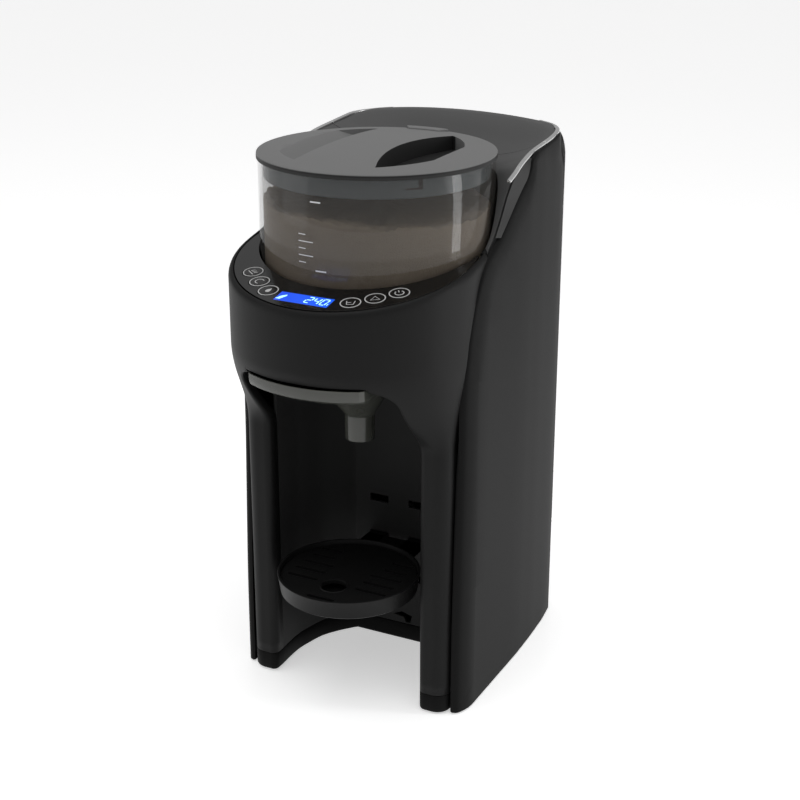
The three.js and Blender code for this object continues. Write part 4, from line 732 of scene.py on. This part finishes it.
def makeBase():
    turns = [math.pi / 2 * i / 12 for i in range(13)]
    r, inLip, front, out = head["pillarRound"], base["inLip"], head["pillarFront"], head["pillarHalf"]
    inX = head["bayHalf"]
    leg = [Vector((inX + inLip - inLip * math.cos(t), front + inLip - inLip * math.sin(t))) for t in turns]
    leg += [Vector((out - r + r * math.sin(t), front + r - r * math.cos(t))) for t in turns]
    leg += [Vector((out, base["legEnd"])), *[Vector((base["sideX"], y)) for y in base["sideY"]]]
    inner = [p for p in linerLine(0) if p.x > -0.01]
    half = list(reversed(inner)) + leg + rearLine(0.2)
    plan = list(reversed(mirroredPlan(half)))
    rows = []
    for i in range(base["roundRows"] + 1):
        turn = math.pi / 2 * i / base["roundRows"]
        inset = base["round"] * (1 - math.sin(turn))
        height = base["low"] + base["round"] * (1 - math.cos(turn))
        rows.append([Vector((*p, height)) for p in insetLine(plan, inset)])
    rows.append([Vector((*p, base["high"] - base["topRound"])) for p in plan])
    rows.append([Vector((*p, base["high"])) for p in insetLine(plan, base["topRound"])])
    finish("base_ring", capped(rows), "machine", panelBlack, "base_frame", angle=50)
    for name, (x, y) in base["pads"].items():
        pad = spun(base["pad"], 48, x, y)
        finish("pad_" + name, pad, "machine", rubberBlack, "foot_" + name, angle=40)


makeLiner()
makeBase()
print("bay and base made")

# control ring, display and keys
controls = {
    "outer": 71.7, "outerY": -24.4, "inner": 70.1, "thick": 2.4, "tipY": -10.5,
    "keyRadius": 82.2, "angles": [-0.634, -0.466, -0.309, 0.309, 0.466, 0.634],
    "shares": [0.965, 1, 1.045, 1.045, 1, 0.965], "keyGap": 0.25, "cutReach": 8,
    "names": ["key_powder", "key_temperature", "key_amount", "key_units", "key_start", "key_power"],
    "cap": 6.2, "screen": (34.2, 10.4), "screenRadius": 85.6, "screenTurn": -0.012,
}
tilt = math.atan(head["ringSlope"])


def ringSpot(radius, turn):
    return radius * math.sin(turn), -radius * math.cos(turn)


def laid(bm, x, y, turn, lift=0):  # a flat shape set on the ring's slope
    turned = Matrix.Rotation(tilt, 4, "X") @ Matrix.Rotation(turn, 4, "Z")
    matrix = Matrix.Translation((x, y, ringHeight(y))) @ turned @ Matrix.Translation((0, 0, lift))
    bmesh.ops.transform(bm, matrix=matrix, verts=bm.verts)
    return bm


def keySpots():
    places = zip(controls["shares"], controls["angles"])
    return [(ringSpot(controls["keyRadius"] * share, angle), angle) for share, angle in places]


def makeRing():
    def rim(radius, y, start, end):
        return [Vector((radius * math.cos(t), y + radius * math.sin(t))) for t in evenSteps(start, end, 96)]

    outerTurn = math.asin((controls["tipY"] - controls["outerY"]) / controls["outer"])
    innerTurn = math.asin(controls["tipY"] / controls["inner"])
    outer = rim(controls["outer"], controls["outerY"], math.pi - outerTurn, 2 * math.pi + outerTurn)
    inner = rim(controls["inner"], 0, 2 * math.pi + innerTurn, math.pi - innerTurn)
    plate = prism(outer + inner, -controls["thick"], 0)
    cap, cut = controls["cap"] + controls["keyGap"], controls["cutReach"]
    plate = carve(plate, *[prism(circle(cap, x, y, 48), -cut, cut) for (x, y), _ in keySpots()])
    for v in plate.verts:
        v.co.z += ringHeight(v.co.y)
    finish("ring_plate", plate, "machine", ringGloss, "control_ring", edge=0.3, angle=40)


def flatStroke(points, width, height=0.06, closed=False):  # a thin raised line
    line = [Vector(p) for p in points]
    left, right = [], []
    count = len(line)
    for i, p in enumerate(line):
        a = line[i - 1] if closed or i else p
        b = line[(i + 1) % count] if closed or i < count - 1 else p
        run = (b - a).normalized()
        side = Vector((-run.y, run.x)) * width / 2
        left.append(p + side)
        right.append(p - side)
    rows = zip((left, left, right, right), (0, height, height, 0))
    bm = bmesh.new()
    sheet(bm, [[Vector((p.x, p.y, h)) for p in row] for row, h in rows], closed)
    return bm


def arc(radius, start, end, count=28):
    turns = [math.radians(angle) for angle in evenSteps(start, end, count)]
    return [(radius * math.cos(t), radius * math.sin(t)) for t in turns]


def signStrokes(index):
    if index == 0:  # three grains that fall, over a short line
        grains = [flatStroke([(x, -0.4), (x + 0.7, 2)], 0.55) for x in (-2, -0.2, 1.6)]
        return [flatStroke([(-3, -1.6), (3, -1.6)], 0.6), *grains]
    if index == 1:  # a crescent
        return [flatStroke(arc(2.5, 60, 300), 0.6)]
    if index == 2:  # a drop
        left = [(0, 2.8), (-0.9, 1.2), (-1.5, -0.2), (-1.2, -1.5), (0, -2.1)]
        return [prism(left + [(-x, y) for x, y in left[-2:0:-1]], 0, 0.06)]
    if index == 3:  # a measuring cup
        cup = [(-2.4, 1.9), (-1.9, -2), (1.9, -2), (2.4, 1.9)]
        return [flatStroke(cup, 0.55), flatStroke([(-2, 0.2), (0.4, 0.2)], 0.45)]
    if index == 4:  # start
        return [flatStroke([(-2.6, -1.7), (0, 2.4), (2.6, -1.7)], 0.6, closed=True)]
    return [flatStroke(arc(2.5, 130, 410), 0.6), flatStroke([(0, 0.6), (0, 3.1)], 0.6)]  # power


def makeKeys():
    r, sides = controls["cap"], 64
    profile = [(0, 0.16), (r * 0.6, 0.14), (r - 0.7, 0.06), (r - 0.2, -0.1), (r, -0.5), (r, -2), (0, -2)]
    for index, (name, ((x, y), angle)) in enumerate(zip(controls["names"], keySpots())):
        cap = spun(profile, sides)
        finish(name + "_cap", laid(cap, x, y, angle), name + "_cap", keyGloss, name, angle=50)
        ring = flatStroke(arc(r - 0.55, 0, 360 - 360 / sides, sides - 1), 0.62, 0.07, closed=True)
        ink = merged(ring, *signStrokes(index))
        finish(name + "_sign", laid(ink, x, y, angle, 0.13), name + "_cap", inkGrey, angle=30)


segments = {
    "a": ((0, 1), (1, 1)), "b": ((1, 1), (1, 0.5)), "c": ((1, 0.5), (1, 0)), "d": ((0, 0), (1, 0)),
    "e": ((0, 0.5), (0, 0)), "f": ((0, 1), (0, 0.5)), "g": ((0, 0.5), (1, 0.5)),
}
digits = {"2": "abged", "4": "fgbc", "0": "abcdef"}


# the number's place and slant on the display, then the marks at its two ends
readout = {
    "left": 1.2, "pitch": 4.9, "low": -3.0, "wide": 3.2, "high": 6.4, "slant": 0.9, "gap": 0.3,
    "stroke": 0.75, "thick": 0.05,
    "leaf": [(-16.6, -3.4), (-13.9, -3.4), (-11.4, 0.9), (-11.8, 2.2), (-14.4, 0.4)],
    "tick": [(15.9, -3.0), (15.9, -0.8)], "tickWidth": 0.4,
}


def makeScreen():
    wide, deep = controls["screen"]
    turn, thick, slant = controls["screenTurn"], readout["thick"], readout["slant"]
    x, y = ringSpot(controls["screenRadius"], turn)
    slab = block(-wide / 2, wide / 2, -deep / 2, deep / 2, -1.4, 0.06)
    slab = laid(slab, x, y, turn)
    finish("screen", slab, "machine", screenBlue, "display_window", edge=0.3)
    marks = []
    low, w, h = readout["low"], readout["wide"], readout["high"]
    for place, digit in enumerate("240"):
        left = readout["left"] + place * readout["pitch"]
        for key in digits[digit]:
            (ax, ay), (bx, by) = segments[key]
            a = Vector((left + ax * w + ay * slant, low + ay * h))
            b = Vector((left + bx * w + by * slant, low + by * h))
            gap = (b - a).normalized() * readout["gap"]
            marks.append(flatStroke([a + gap, b - gap], readout["stroke"], thick))
    marks.append(prism(readout["leaf"], 0, thick))
    marks.append(flatStroke(readout["tick"], readout["tickWidth"], thick))
    lit = laid(merged(*marks), x, y, turn, 0.07)
    finish("screen_marks", lit, "machine", digitGlow, angle=30)


makeRing()
makeKeys()
makeScreen()
print("controls made")

# hopper, powder and lid
hopper = {
    "outer": 69.4, "wall": 2.4, "low": 240.8, "rim": 332.7, "floor": 252.8,
    "powderLow": 263.5, "powderRadius": 66.6, "powderTop": 306, "powderTilt": -0.04,
    "lidRadius": 70.2, "lidLow": 333, "lidEdge": 335.9, "lidTop": 339.8, "skirt": 66.2, "skirtLow": 321.5,
    "floorBore": 8.6, "floorGap": 0.1,
    # level lines and a short scale: height, both ends along the wall, thickness
    "marks": [(319, -5.4, 1.2, 0.8), (280, -2.6, 4.2, 0.8), (300, -14, -9, 0.5), (296, -14, -4, 0.5),
              (292, -14, -9, 0.5), (288, -14, -4, 0.5), (284, -14, -9, 0.5)],
    "markLift": (0.02, 0.09),
    "heap": [0.05, 0.1, 0.16, 0.22, 0.28, 0.34, 0.4, 0.5, 0.6, 0.68, 0.76, 0.82, 0.87, 0.91, 0.94, 0.965,
             0.985, 1.0],
    "lumps": [(0.045, 3.0), (0.16, 1.9), (0.55, 1.1)], "lumpRise": 0.6, "lumpDepth": 6,
}


def makeHopper():
    r, inner = hopper["outer"], hopper["outer"] - hopper["wall"]
    low, rim = hopper["low"], hopper["rim"]
    wall = [(inner, low), (r - 0.4, low), (r, low + 0.5), (r, rim - 0.6), (r - 0.4, rim), (inner + 0.3, rim),
            (inner, rim - 0.4), (inner, low)]
    finish("hopper_wall", spun(wall, 160), "hopper", smokeWall, "hopper_body", angle=40)
    bore, side = hopper["floorBore"], inner - hopper["floorGap"]
    bottom, top = hopper["floor"], hopper["floor"] + hopper["wall"]
    floor = spun([(bore, bottom), (side, bottom), (side, top), (bore, top), (bore, bottom)], 96)
    finish("hopper_floor", floor, "hopper", smokeWall, angle=40)
    marks = []
    near, far = hopper["markLift"]
    for z, x0, x1, thick in hopper["marks"]:
        turns = [x / (r + 0.05) for x in evenSteps(x0, x1, 8)]
        edges = ((near, thick / 2), (far, thick / 2), (far, -thick / 2), (near, -thick / 2))
        mark = bmesh.new()
        sheet(mark, [[Vector((*ringSpot(r + lift, t), z + h)) for t in turns] for lift, h in edges])
        marks.append(mark)
    finish("level_marks", merged(*marks), "hopper", markWhite, angle=30)


def makePowder():
    r, low, top = hopper["powderRadius"], hopper["powderLow"], hopper["powderTop"]
    profile = [(0, top)] + [(r * s * 0.999, top) for s in hopper["heap"]]
    profile += [(r, mix(top, low, share)) for share in (0.03, 0.2, 0.4, 0.6, 0.8, 1)] + [(0, low)]
    bed = spun(profile, 200)
    for v in bed.verts:
        p = v.co
        if p.z > top - hopper["lumpDepth"]:
            broad, middle, fine = (noise.noise(p * scale) * height for scale, height in hopper["lumps"])
            lump = broad + middle + fine
            p.z += hopper["powderTilt"] * p.x + lump + hopper["lumpRise"]
    finish("powder_heap", bed, "hopper", milkPowder, "powder_bed", angle=80)


# finger recesses, tab, rim and catch of the lid
lid = {
    "corner": (25.4, 50.4), "leftReach": 57, "rightX": -14.3, "rightReach": 64, "rightTurn": 0.905,
    "ribX": 14.5, "ribBow": 10.9, "depth": {-1: 9.5, 1: 11}, "fallFrom": 20, "fallOver": 29, "fallPower": 2.2,
    "cuts": range(16, 58, 2), "cutTop": 348, "core": 61, "coreDrop": 12.5,
    "dome": (0.985, 0.95, 0.9, 0.8, 0.7, 0.6, 0.5, 0.4, 0.3, 0.2, 0.1),
    "tab": [(69, 0.21), (62, -0.16)], "tabZ": (-0.6, 1.7),
    # the painted shade lies below the dome, above the core's foot, within a radius, up to a slanted line
    "wellBelow": 0.35, "wellDrop": 12, "wellRadius": 60.5, "shadeLine": (44, 28, 50, 100),
    "rimBand": (0.35, 0.4),
    # catch on the skirt: turns from and to, heights from and to
    "catch": [(0.83, 0.87, 327.5, 332.4), (0.72, 0.87, 326.4, 327.5)],
}


def gripLine(side):  # plan of a finger recess
    x, y = lid["corner"]
    if side < 0:
        corner, reach = math.atan2(y, x), lid["leftReach"]
        return [Vector((-reach * math.cos(t), reach * math.sin(t))) for t in evenSteps(-corner, corner, 32)]
    reach, turns = lid["rightReach"], evenSteps(-lid["rightTurn"], lid["rightTurn"], 32)
    outer = [Vector((lid["rightX"] + reach * math.cos(t), reach * math.sin(t))) for t in turns]
    inner = [Vector((lid["ribX"] + lid["ribBow"] * (v / y) ** 2, v)) for v in evenSteps(y, -y, 24)]
    return outer + inner[1:-1]


def recessTool(side):  # cutter with a floor that falls from the rim towards the middle rib
    def floorAt(p):
        out = min(max((abs(p.x) - lid["fallFrom"]) / lid["fallOver"], 0), 1)
        return hopper["lidTop"] - lid["depth"][side] * (1 - out ** lid["fallPower"])

    bm = capped([[Vector((p.x, p.y, h)) for p in gripLine(side)] for h in (0, lid["cutTop"])])
    for x in lid["cuts"]:
        sliced(bm, (side * x, 0, 0), (1, 0, 0))
    for v in bm.verts:
        if v.co.z < 1:
            v.co.z = floorAt(v.co)
    bmesh.ops.recalc_face_normals(bm, faces=bm.faces)
    return bm


def inPaintedShade(middle):  # painted shade: the steep side of the right recess, and the rim's outer face
    r, edge, top = hopper["lidRadius"], hopper["lidEdge"], hopper["lidTop"]
    out, height = middle.xy.length, middle.z
    high, low, shift, span = lid["shadeLine"]
    domeZ = edge + (top - edge) * (1 - (out / r) ** 2)
    inWell = edge - lid["wellDrop"] < height < domeZ - lid["wellBelow"] and out < lid["wellRadius"]
    steep = inWell and 0 < middle.x < mix(high, low, (middle.y + shift) / span)
    return steep or (out > r - lid["rimBand"][0] and height < edge - lid["rimBand"][1])


def makeLid():
    r, low, edge, top = hopper["lidRadius"], hopper["lidLow"], hopper["lidEdge"], hopper["lidTop"]
    core, foot = lid["core"], edge - lid["coreDrop"]
    profile = [(0, foot), (core, foot), (core, low), (r - 0.5, low), (r, low + 0.5), (r, edge - 0.5)]
    profile.append((r - 0.2, edge - 0.05))
    profile += [(r * s, edge + (top - edge) * (1 - s * s)) for s in lid["dome"]] + [(0, top)]
    cap = carve(spun(profile, 160), *[recessTool(side) for side in (-1, 1)])
    # faces in the painted shade take the dark copy of the lid's grey
    for face in cap.faces:
        face.material_index = 1 if inPaintedShade(face.calc_center_median()) else 0
    finish("lid_cap", cap, "lid", [lidGrey, lidShade], "hopper_lid", edge=0.5, angle=38)
    plan = []
    for reach, turn in lid["tab"]:
        plan += [Vector((reach * math.sin(t), reach * math.cos(t))) for t in evenSteps(-turn, turn, 12)]
    below, above = lid["tabZ"]
    finish("lid_tab", prism(plan, edge + below, edge + above), "lid", lidGrey, edge=0.6)
    near, far = r - 0.05, r + 0.06
    under = [(near, low - 0.02), (near, low + 1.4), (far, low + 1.3), (far, low), (near, low - 0.02)]
    finish("lid_rim", spun(under, 160), "lid", innerLitBlack, angle=30)
    s, hem, seat = hopper["skirt"], hopper["skirtLow"], low - 0.2
    skirt = spun([(s - 2, seat), (s, seat), (s, hem + 0.5), (s - 0.5, hem), (s - 2, hem), (s - 2, seat)], 160)
    finish("lid_skirt", skirt, "lid", skirtBlue, "lid_gasket", angle=30)
    catch = bmesh.new()
    for start, end, *heights in lid["catch"]:
        turns = evenSteps(start, end, 6)
        sheet(catch, [[Vector((*ringSpot(s + 0.2, t), z)) for t in turns] for z in heights])
    finish("lid_catch", catch, "lid", innerLitBlack, angle=30)


makeHopper()
makePowder()
makeLid()
print("hopper made")

# deck behind the hopper, tank and its lid
deck = {
    "half": 72.9, "bore": 70.6, "low": 262.3, "front": -8, "back": 76, "seam": 76.7, "tankTop": 296.4,
    "shoulder": [(20, 0), (15, 0.1), (11, 0.6), (8, 1.3), (5.5, 2.1), (3.5, 3.1), (2, 4.2), (0.9, 5.4),
                 (0.2, 6.6), (-12, 7)],
    "core": (58, 108), "dish": 12, "dishReach": (9, 28), "dishHalf": 71, "lidTop": 335.2, "blank": 350,
    "boreZ": (250, 360), "rimCrown": 4.8, "rimRise": (70, 116), "insetRise": (99, 113),
    "rimY": [(0, 125.5), (40, 124.8), (60, 122.5), (73, 112)],
    "toolX": 80, "toolY": (-12, 131), "toolZ": 365,
    "crest": [(-8, 276), (-5, 281), *panel["innerCrest"][:8], (50, 328.6), (59, 330.6), (76, 331.9),
              (92, 333), (103, 334.4), (112, 335.1), (129, 335.1)],
}
crestLine = [tuple(p) for p in through(deck["crest"], 6)]


def topAt(x, y):  # the machine's upper surface behind the hopper
    u = min(abs(x) / deck["dishHalf"], 1)
    fromRim = along(deck["rimY"], abs(x)) - y
    rim = ease(*deck["rimRise"], y) * deck["rimCrown"] * (1 - u * u)
    return along(crestLine, y) + rim - deck["dish"] * ease(*deck["dishReach"], fromRim) * (1 - u ** 3)


def topTool():  # cutter whose underside is that surface
    bm = bmesh.new()
    bmesh.ops.create_grid(bm, x_segments=76, y_segments=92, size=1)
    for v in bm.verts:
        x, y = v.co.x * deck["toolX"], mix(*deck["toolY"], (v.co.y + 1) / 2)
        v.co = Vector((x, y, topAt(x, y)))
    edges = [e for e in bm.edges if e.is_boundary]
    made = bmesh.ops.extrude_edge_only(bm, edges=edges)["geom"]
    for v in made:
        if isinstance(v, bmesh.types.BMVert):
            v.co.z = deck["toolZ"]
    bmesh.ops.holes_fill(bm, edges=[e for e in bm.edges if e.is_boundary])
    bmesh.ops.recalc_face_normals(bm, faces=bm.faces)
    return bm


def makeDeck():
    solid = block(-deck["half"], deck["half"], deck["front"], deck["back"], deck["low"], deck["blank"])
    solid = carve(solid, prism(circle(deck["bore"], 0, 0, 160), *deck["boreZ"]), topTool())
    finish("deck_cover", solid, "machine", deckLitBlack, "top_deck", edge=0.5, angle=40)


tank = {
    "half": 72.6, "top": 295.9, "low": 69, "wall": 2.2, "plan": (90, 99, 103, 107, 110, 113),
    "middleY": 100, "bottom": [(0.008, 67.9), (0.02, 67.3)],
    "footHalf": 73.2, "footZ": (13, 66.2), "bandHalf": 72.9, "bandZ": (64.9, 66.4),
}


def ringOfPlan(half, inset):
    side = [Vector((half, y)) for y in (deck["seam"], *tank["plan"])]
    return mirroredPlan(side + rearLine(inset))


def makeTankLid():
    plan = ringOfPlan(tank["half"], 0)
    coreX, coreY = deck["core"]
    toInside = [(Vector((min(max(p.x, -coreX), coreX), min(p.y, coreY))) - p).normalized() for p in plan]
    rows = [[Vector((p.x, p.y, deck["tankTop"])) for p in plan]]
    for depth, inset in deck["shoulder"]:
        row = []
        for p, step in zip(plan, toInside):
            u = min(abs(p.x) / deck["dishHalf"], 1)
            high = deck["lidTop"] + deck["rimCrown"] * (1 - u * u)
            spot = p + step * inset * ease(*deck["insetRise"], p.y)
            row.append(Vector((spot.x, spot.y, high - depth)))
        rows.append(row)
    bm = capped(rows)
    bmesh.ops.triangulate(bm, faces=[f for f in bm.faces if len(f.verts) > 4])
    bmesh.ops.recalc_face_normals(bm, faces=bm.faces)
    cover = carve(bm, topTool())
    finish("tank_cover", cover, "tank_cover", deckLitBlack, "tank_lid", edge=0.4, angle=40)


def makeTank():
    outer = ringOfPlan(tank["half"], 0)
    middle = Vector((0, tank["middleY"]))
    rows = [[Vector((p.x, p.y, z)) for p in outer] for z in (tank["top"], tank["low"])]
    rows += [[Vector((*p.lerp(middle, share), z)) for p in outer] for share, z in tank["bottom"]]
    bm = bmesh.new()
    bm.faces.new(sheet(bm, rows, True))
    bmesh.ops.recalc_face_normals(bm, faces=bm.faces)
    finish("tank_wall", bm, "tank", tankWall, "water_tank", wall=tank["wall"], angle=40)
    housing = prism(ringOfPlan(tank["footHalf"], 0.2), *tank["footZ"])
    finish("tank_foot", housing, "machine", panelBlack, "tank_housing", edge=0.6, angle=50)
    band = prism(ringOfPlan(tank["bandHalf"], 0.1), *tank["bandZ"])
    finish("tank_foot_band", band, "machine", innerLitBlack, edge=0.3, angle=50)


makeDeck()
makeTankLid()
makeTank()
print("rear made")

# funnel and tray
funnel = {
    "half": 37.4, "rim": 74.6, "rearY": -6, "coneY": -29, "wall": 1.6, "count": 144,
    "spout": [(9, -24, 164.4), (9.1, -24, 165), (9.2, -24, 180.4), (9.7, -24, 181.2), (24.4, -29, 204),
              (24.9, -29, 204.8), (24.9, -29, 205.8), (24.2, -29, 206.4)],
    "dish": [(8, 20, 207), (3, 8, 210.8), (1.2, 3, 213), (0.6, 1, 214.4), (0.3, 0.3, 216), (0, 0, 218.6),
             (0, 0, 221), (0.3, 0.3, 221.3)],
}


def dishRow(half, reach, rearY, z):  # from the cone's axis to the rim's arc, the sides or the rear
    row = []
    count = funnel["count"]
    offset = funnel["coneY"] - head["centreY"]
    for i in range(count):
        turn = 2 * math.pi * i / count
        ux, uy = math.cos(turn), math.sin(turn)
        slip = uy * offset
        arcReach = -slip + math.sqrt(slip * slip - offset * offset + reach * reach)
        side = half / max(abs(ux), 0.001)
        back = (rearY - funnel["coneY"]) / uy if uy > 0.001 else arcReach
        best = min(arcReach, side, back)
        row.append(Vector((ux * best, funnel["coneY"] + uy * best, z)))
    return row


def makeFunnel():
    half, rear, rim = funnel["half"], funnel["rearY"], funnel["rim"]
    rows = [[Vector((*p, z)) for p in circle(r, 0, y, funnel["count"])] for r, y, z in funnel["spout"]]
    rows += [dishRow(half - spread, rim - back, rear, z) for spread, back, z in funnel["dish"]]
    bm = bmesh.new()
    sheet(bm, rows, True)
    facingOut(bm)
    wall = funnel["wall"]
    finish("funnel_dish", bm, "funnel_body", funnelSmoke, "funnel", wall=wall, angle=28)


tray = {
    "y": -40, "armX": 14, "armHalf": 6, "armZ": (72.8, 76.4), "armY": (1, 29.6), "bridge": (20, 23.5),
    "cup": [(0, 70.4), (41.6, 70.4), (42.4, 71), (43.9, 81.2), (44.2, 81.8), (43.9, 82.1), (42.8, 82.1),
            (42.5, 81.7), (42.3, 77), (40.6, 76.8), (39.6, 72.4), (0, 72.4)],
    "plate": [(0, 77.3), (41.9, 77.3), (42, 77.6), (42, 79.1), (41.6, 79.5), (0, 79.6)],
    "hole": 7.8, "holeY": -59,
    "lip": [(7.8, 79.4), (8.0, 79.9), (8.6, 79.95), (8.9, 79.5), (8.3, 79.2), (7.8, 79.4)],
    # slots on both sides: place from front to rear, inner and outer end; then the single one at the front
    "slots": [(-56, 14.4, 32.6), (-46, 14.4, 33), (-36, 14.4, 33), (-26, 19, 31.6), (-15.5, 19, 31)],
    "frontSlot": (-8, 8, -76), "slotRound": 1.4, "cutZ": (60, 90),
}


def slotTool(x0, x1, y):
    r, quarter = tray["slotRound"], math.pi / 2
    plan = []
    for x, start, end in ((x0, quarter, 1.5 * math.pi), (x1, -quarter, quarter)):
        plan += [Vector((x + r * math.cos(t), y + r * math.sin(t))) for t in evenSteps(start, end, 8)]
    return prism(plan, *tray["cutZ"])


def makeTray():
    y, half, (front, rear), (wide, deep) = tray["y"], tray["armHalf"], tray["armY"], tray["bridge"]
    cup = spun(tray["cup"], 144, 0, y)
    arms = [block(x - half, x + half, front, rear, *tray["armZ"]) for x in (-tray["armX"], tray["armX"])]
    cup = merged(cup, block(-wide, wide, front, deep, *tray["armZ"]), *arms)
    finish("tray_cup", cup, "tray", trayBlack, "drip_tray", angle=35)
    tools = [prism(circle(tray["hole"], 0, tray["holeY"], 64), *tray["cutZ"])]
    for row, near, far in tray["slots"]:
        tools += [slotTool(near, far, row), slotTool(-far, -near, row)]
    tools.append(slotTool(*tray["frontSlot"]))
    plate = carve(spun(tray["plate"], 144, 0, y), *tools)
    finish("tray_plate", plate, "grid", trayBlack, "tray_grid", edge=0.35, angle=40)
    lip = spun(tray["lip"], 64, 0, tray["holeY"])
    finish("tray_hole_rim", lip, "grid", trayBlack, angle=30)


makeFunnel()
makeTray()
print("funnel and tray made")

# finish of the pieces that keep their own shape
kept = [
    (innerLitBlack, ["rear_frame", "head_floor", "hopper_seat", "hopper_base", "bottle_sensor"]),
    (whitePart, ["dosing_wheel", "stirring_paddle", "drive_gear", "motor_pinion", "water_nozzle",
                 "valve_plunger", "water_pump"]),
    (steelGrey, ["drive_shaft", "gear_motor", "lid_hinge_pin", "heater_block", "valve_spring",
                 *[f"case_screw_{number}" for number in range(1, 5)]]),
    (softGrey, ["valve_seal", "tank_coupling", "supply_tube", "pump_tube", "outlet_tube"]),
    (boardGreen, ["key_board", "main_board"]),
    (rubberBlack, ["cord_gland"]),
    (screenBlue, ["display_module"]),
]
for paint, nodes in kept:
    for node in nodes:
        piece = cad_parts[node]
        piece.data.materials.clear()
        piece.data.materials.append(paint)
print("kept nodes painted")

# floor, light and camera
studio = {
    "floorSize": 12, "floorDrop": 0.0004, "floorColour": grey(0.93), "floorLight": grey(0.95),
    "floorGlow": grey(0.5), "worldLevel": 0.42,
    "cameraPlace": (0.4185, -0.8124, 0.5190), "pitch": 20.59, "azimuth": 26.81, "lens": 70.35,
}


def makeFloor():
    bm = bmesh.new()
    bmesh.ops.create_grid(bm, x_segments=2, y_segments=2, size=studio["floorSize"] / 2)
    bmesh.ops.translate(bm, vec=(0, 0, -studio["floorDrop"]), verts=bm.verts)
    floor = loose("floor", bm)
    paint = Paint("floor_white", {"Roughness": 0.28, "Specular IOR Level": 0.25, "Emission Strength": 1.0})
    cloud = paint.grain(2, 1)
    paint.feed("Base Color", paint.blend(cloud, studio["floorColour"], studio["floorLight"]))
    rays = ("Is Camera Ray", "Is Glossy Ray", "Is Transmission Ray")
    seen = [paint.node("ShaderNodeLightPath", output=ray) for ray in rays]
    glow = paint.blend(seen[0] + seen[1] + seen[2], grey(0), studio["floorGlow"])
    paint.feed("Emission Color", glow)
    floor.data.materials.append(paint.material)


def makeWorld():
    world = bpy.data.worlds.new("studio")
    bpy.context.scene.world = world
    world.use_nodes = True
    tree = world.node_tree
    shade = tree.nodes["Background"]
    path = tree.nodes.new("ShaderNodeLightPath")
    seen = tree.nodes.new("ShaderNodeMath")
    seen.operation = "MAXIMUM"
    tree.links.new(path.outputs["Is Camera Ray"], seen.inputs[0])
    tree.links.new(path.outputs["Is Transmission Ray"], seen.inputs[1])
    level = tree.nodes.new("ShaderNodeMapRange")
    tree.links.new(seen.outputs[0], level.inputs["Value"])
    level.inputs["To Min"].default_value = studio["worldLevel"]
    level.inputs["To Max"].default_value = 1.0
    tree.links.new(level.outputs[0], shade.inputs["Strength"])
    shade.inputs["Color"].default_value = (1, 1, 1, 1)


def makeLamp(name, place, aim, size, power):
    light = bpy.data.lights.new(name, "AREA")
    light.shape = "RECTANGLE"
    light.size, light.size_y = size
    light.energy = power
    lamp = bpy.data.objects.new(name, light)
    bpy.context.scene.collection.objects.link(lamp)
    lamp.location = place
    lamp.rotation_euler = (Vector(aim) - Vector(place)).to_track_quat("-Z", "Y").to_euler()


def makeCamera():
    data = bpy.data.cameras.new("camera")
    data.lens, data.sensor_width = studio["lens"], 36
    data.clip_start, data.clip_end = 0.05, 50
    camera = bpy.data.objects.new("camera", data)
    bpy.context.scene.collection.objects.link(camera)
    camera.location = studio["cameraPlace"]
    camera.rotation_euler = (math.radians(90 - studio["pitch"]), 0, math.radians(studio["azimuth"]))
    bpy.context.scene.camera = camera


makeFloor()
makeWorld()
makeLamp("overhead", (0.1, -0.3, 1.6), (0, 0, 0.1), (1.6, 1.4), 10)
makeLamp("right_strip", (1.05, 0.3, 0.3), (0, 0, 0.3), (0.2, 1.2), 4.5)
makeLamp("left_fill", (-1.3, -0.9, 0.7), (0, 0, 0.2), (0.9, 1.2), 2.4)
makeCamera()
bpy.context.scene.view_settings.view_transform = "Standard"

print("all stages made")
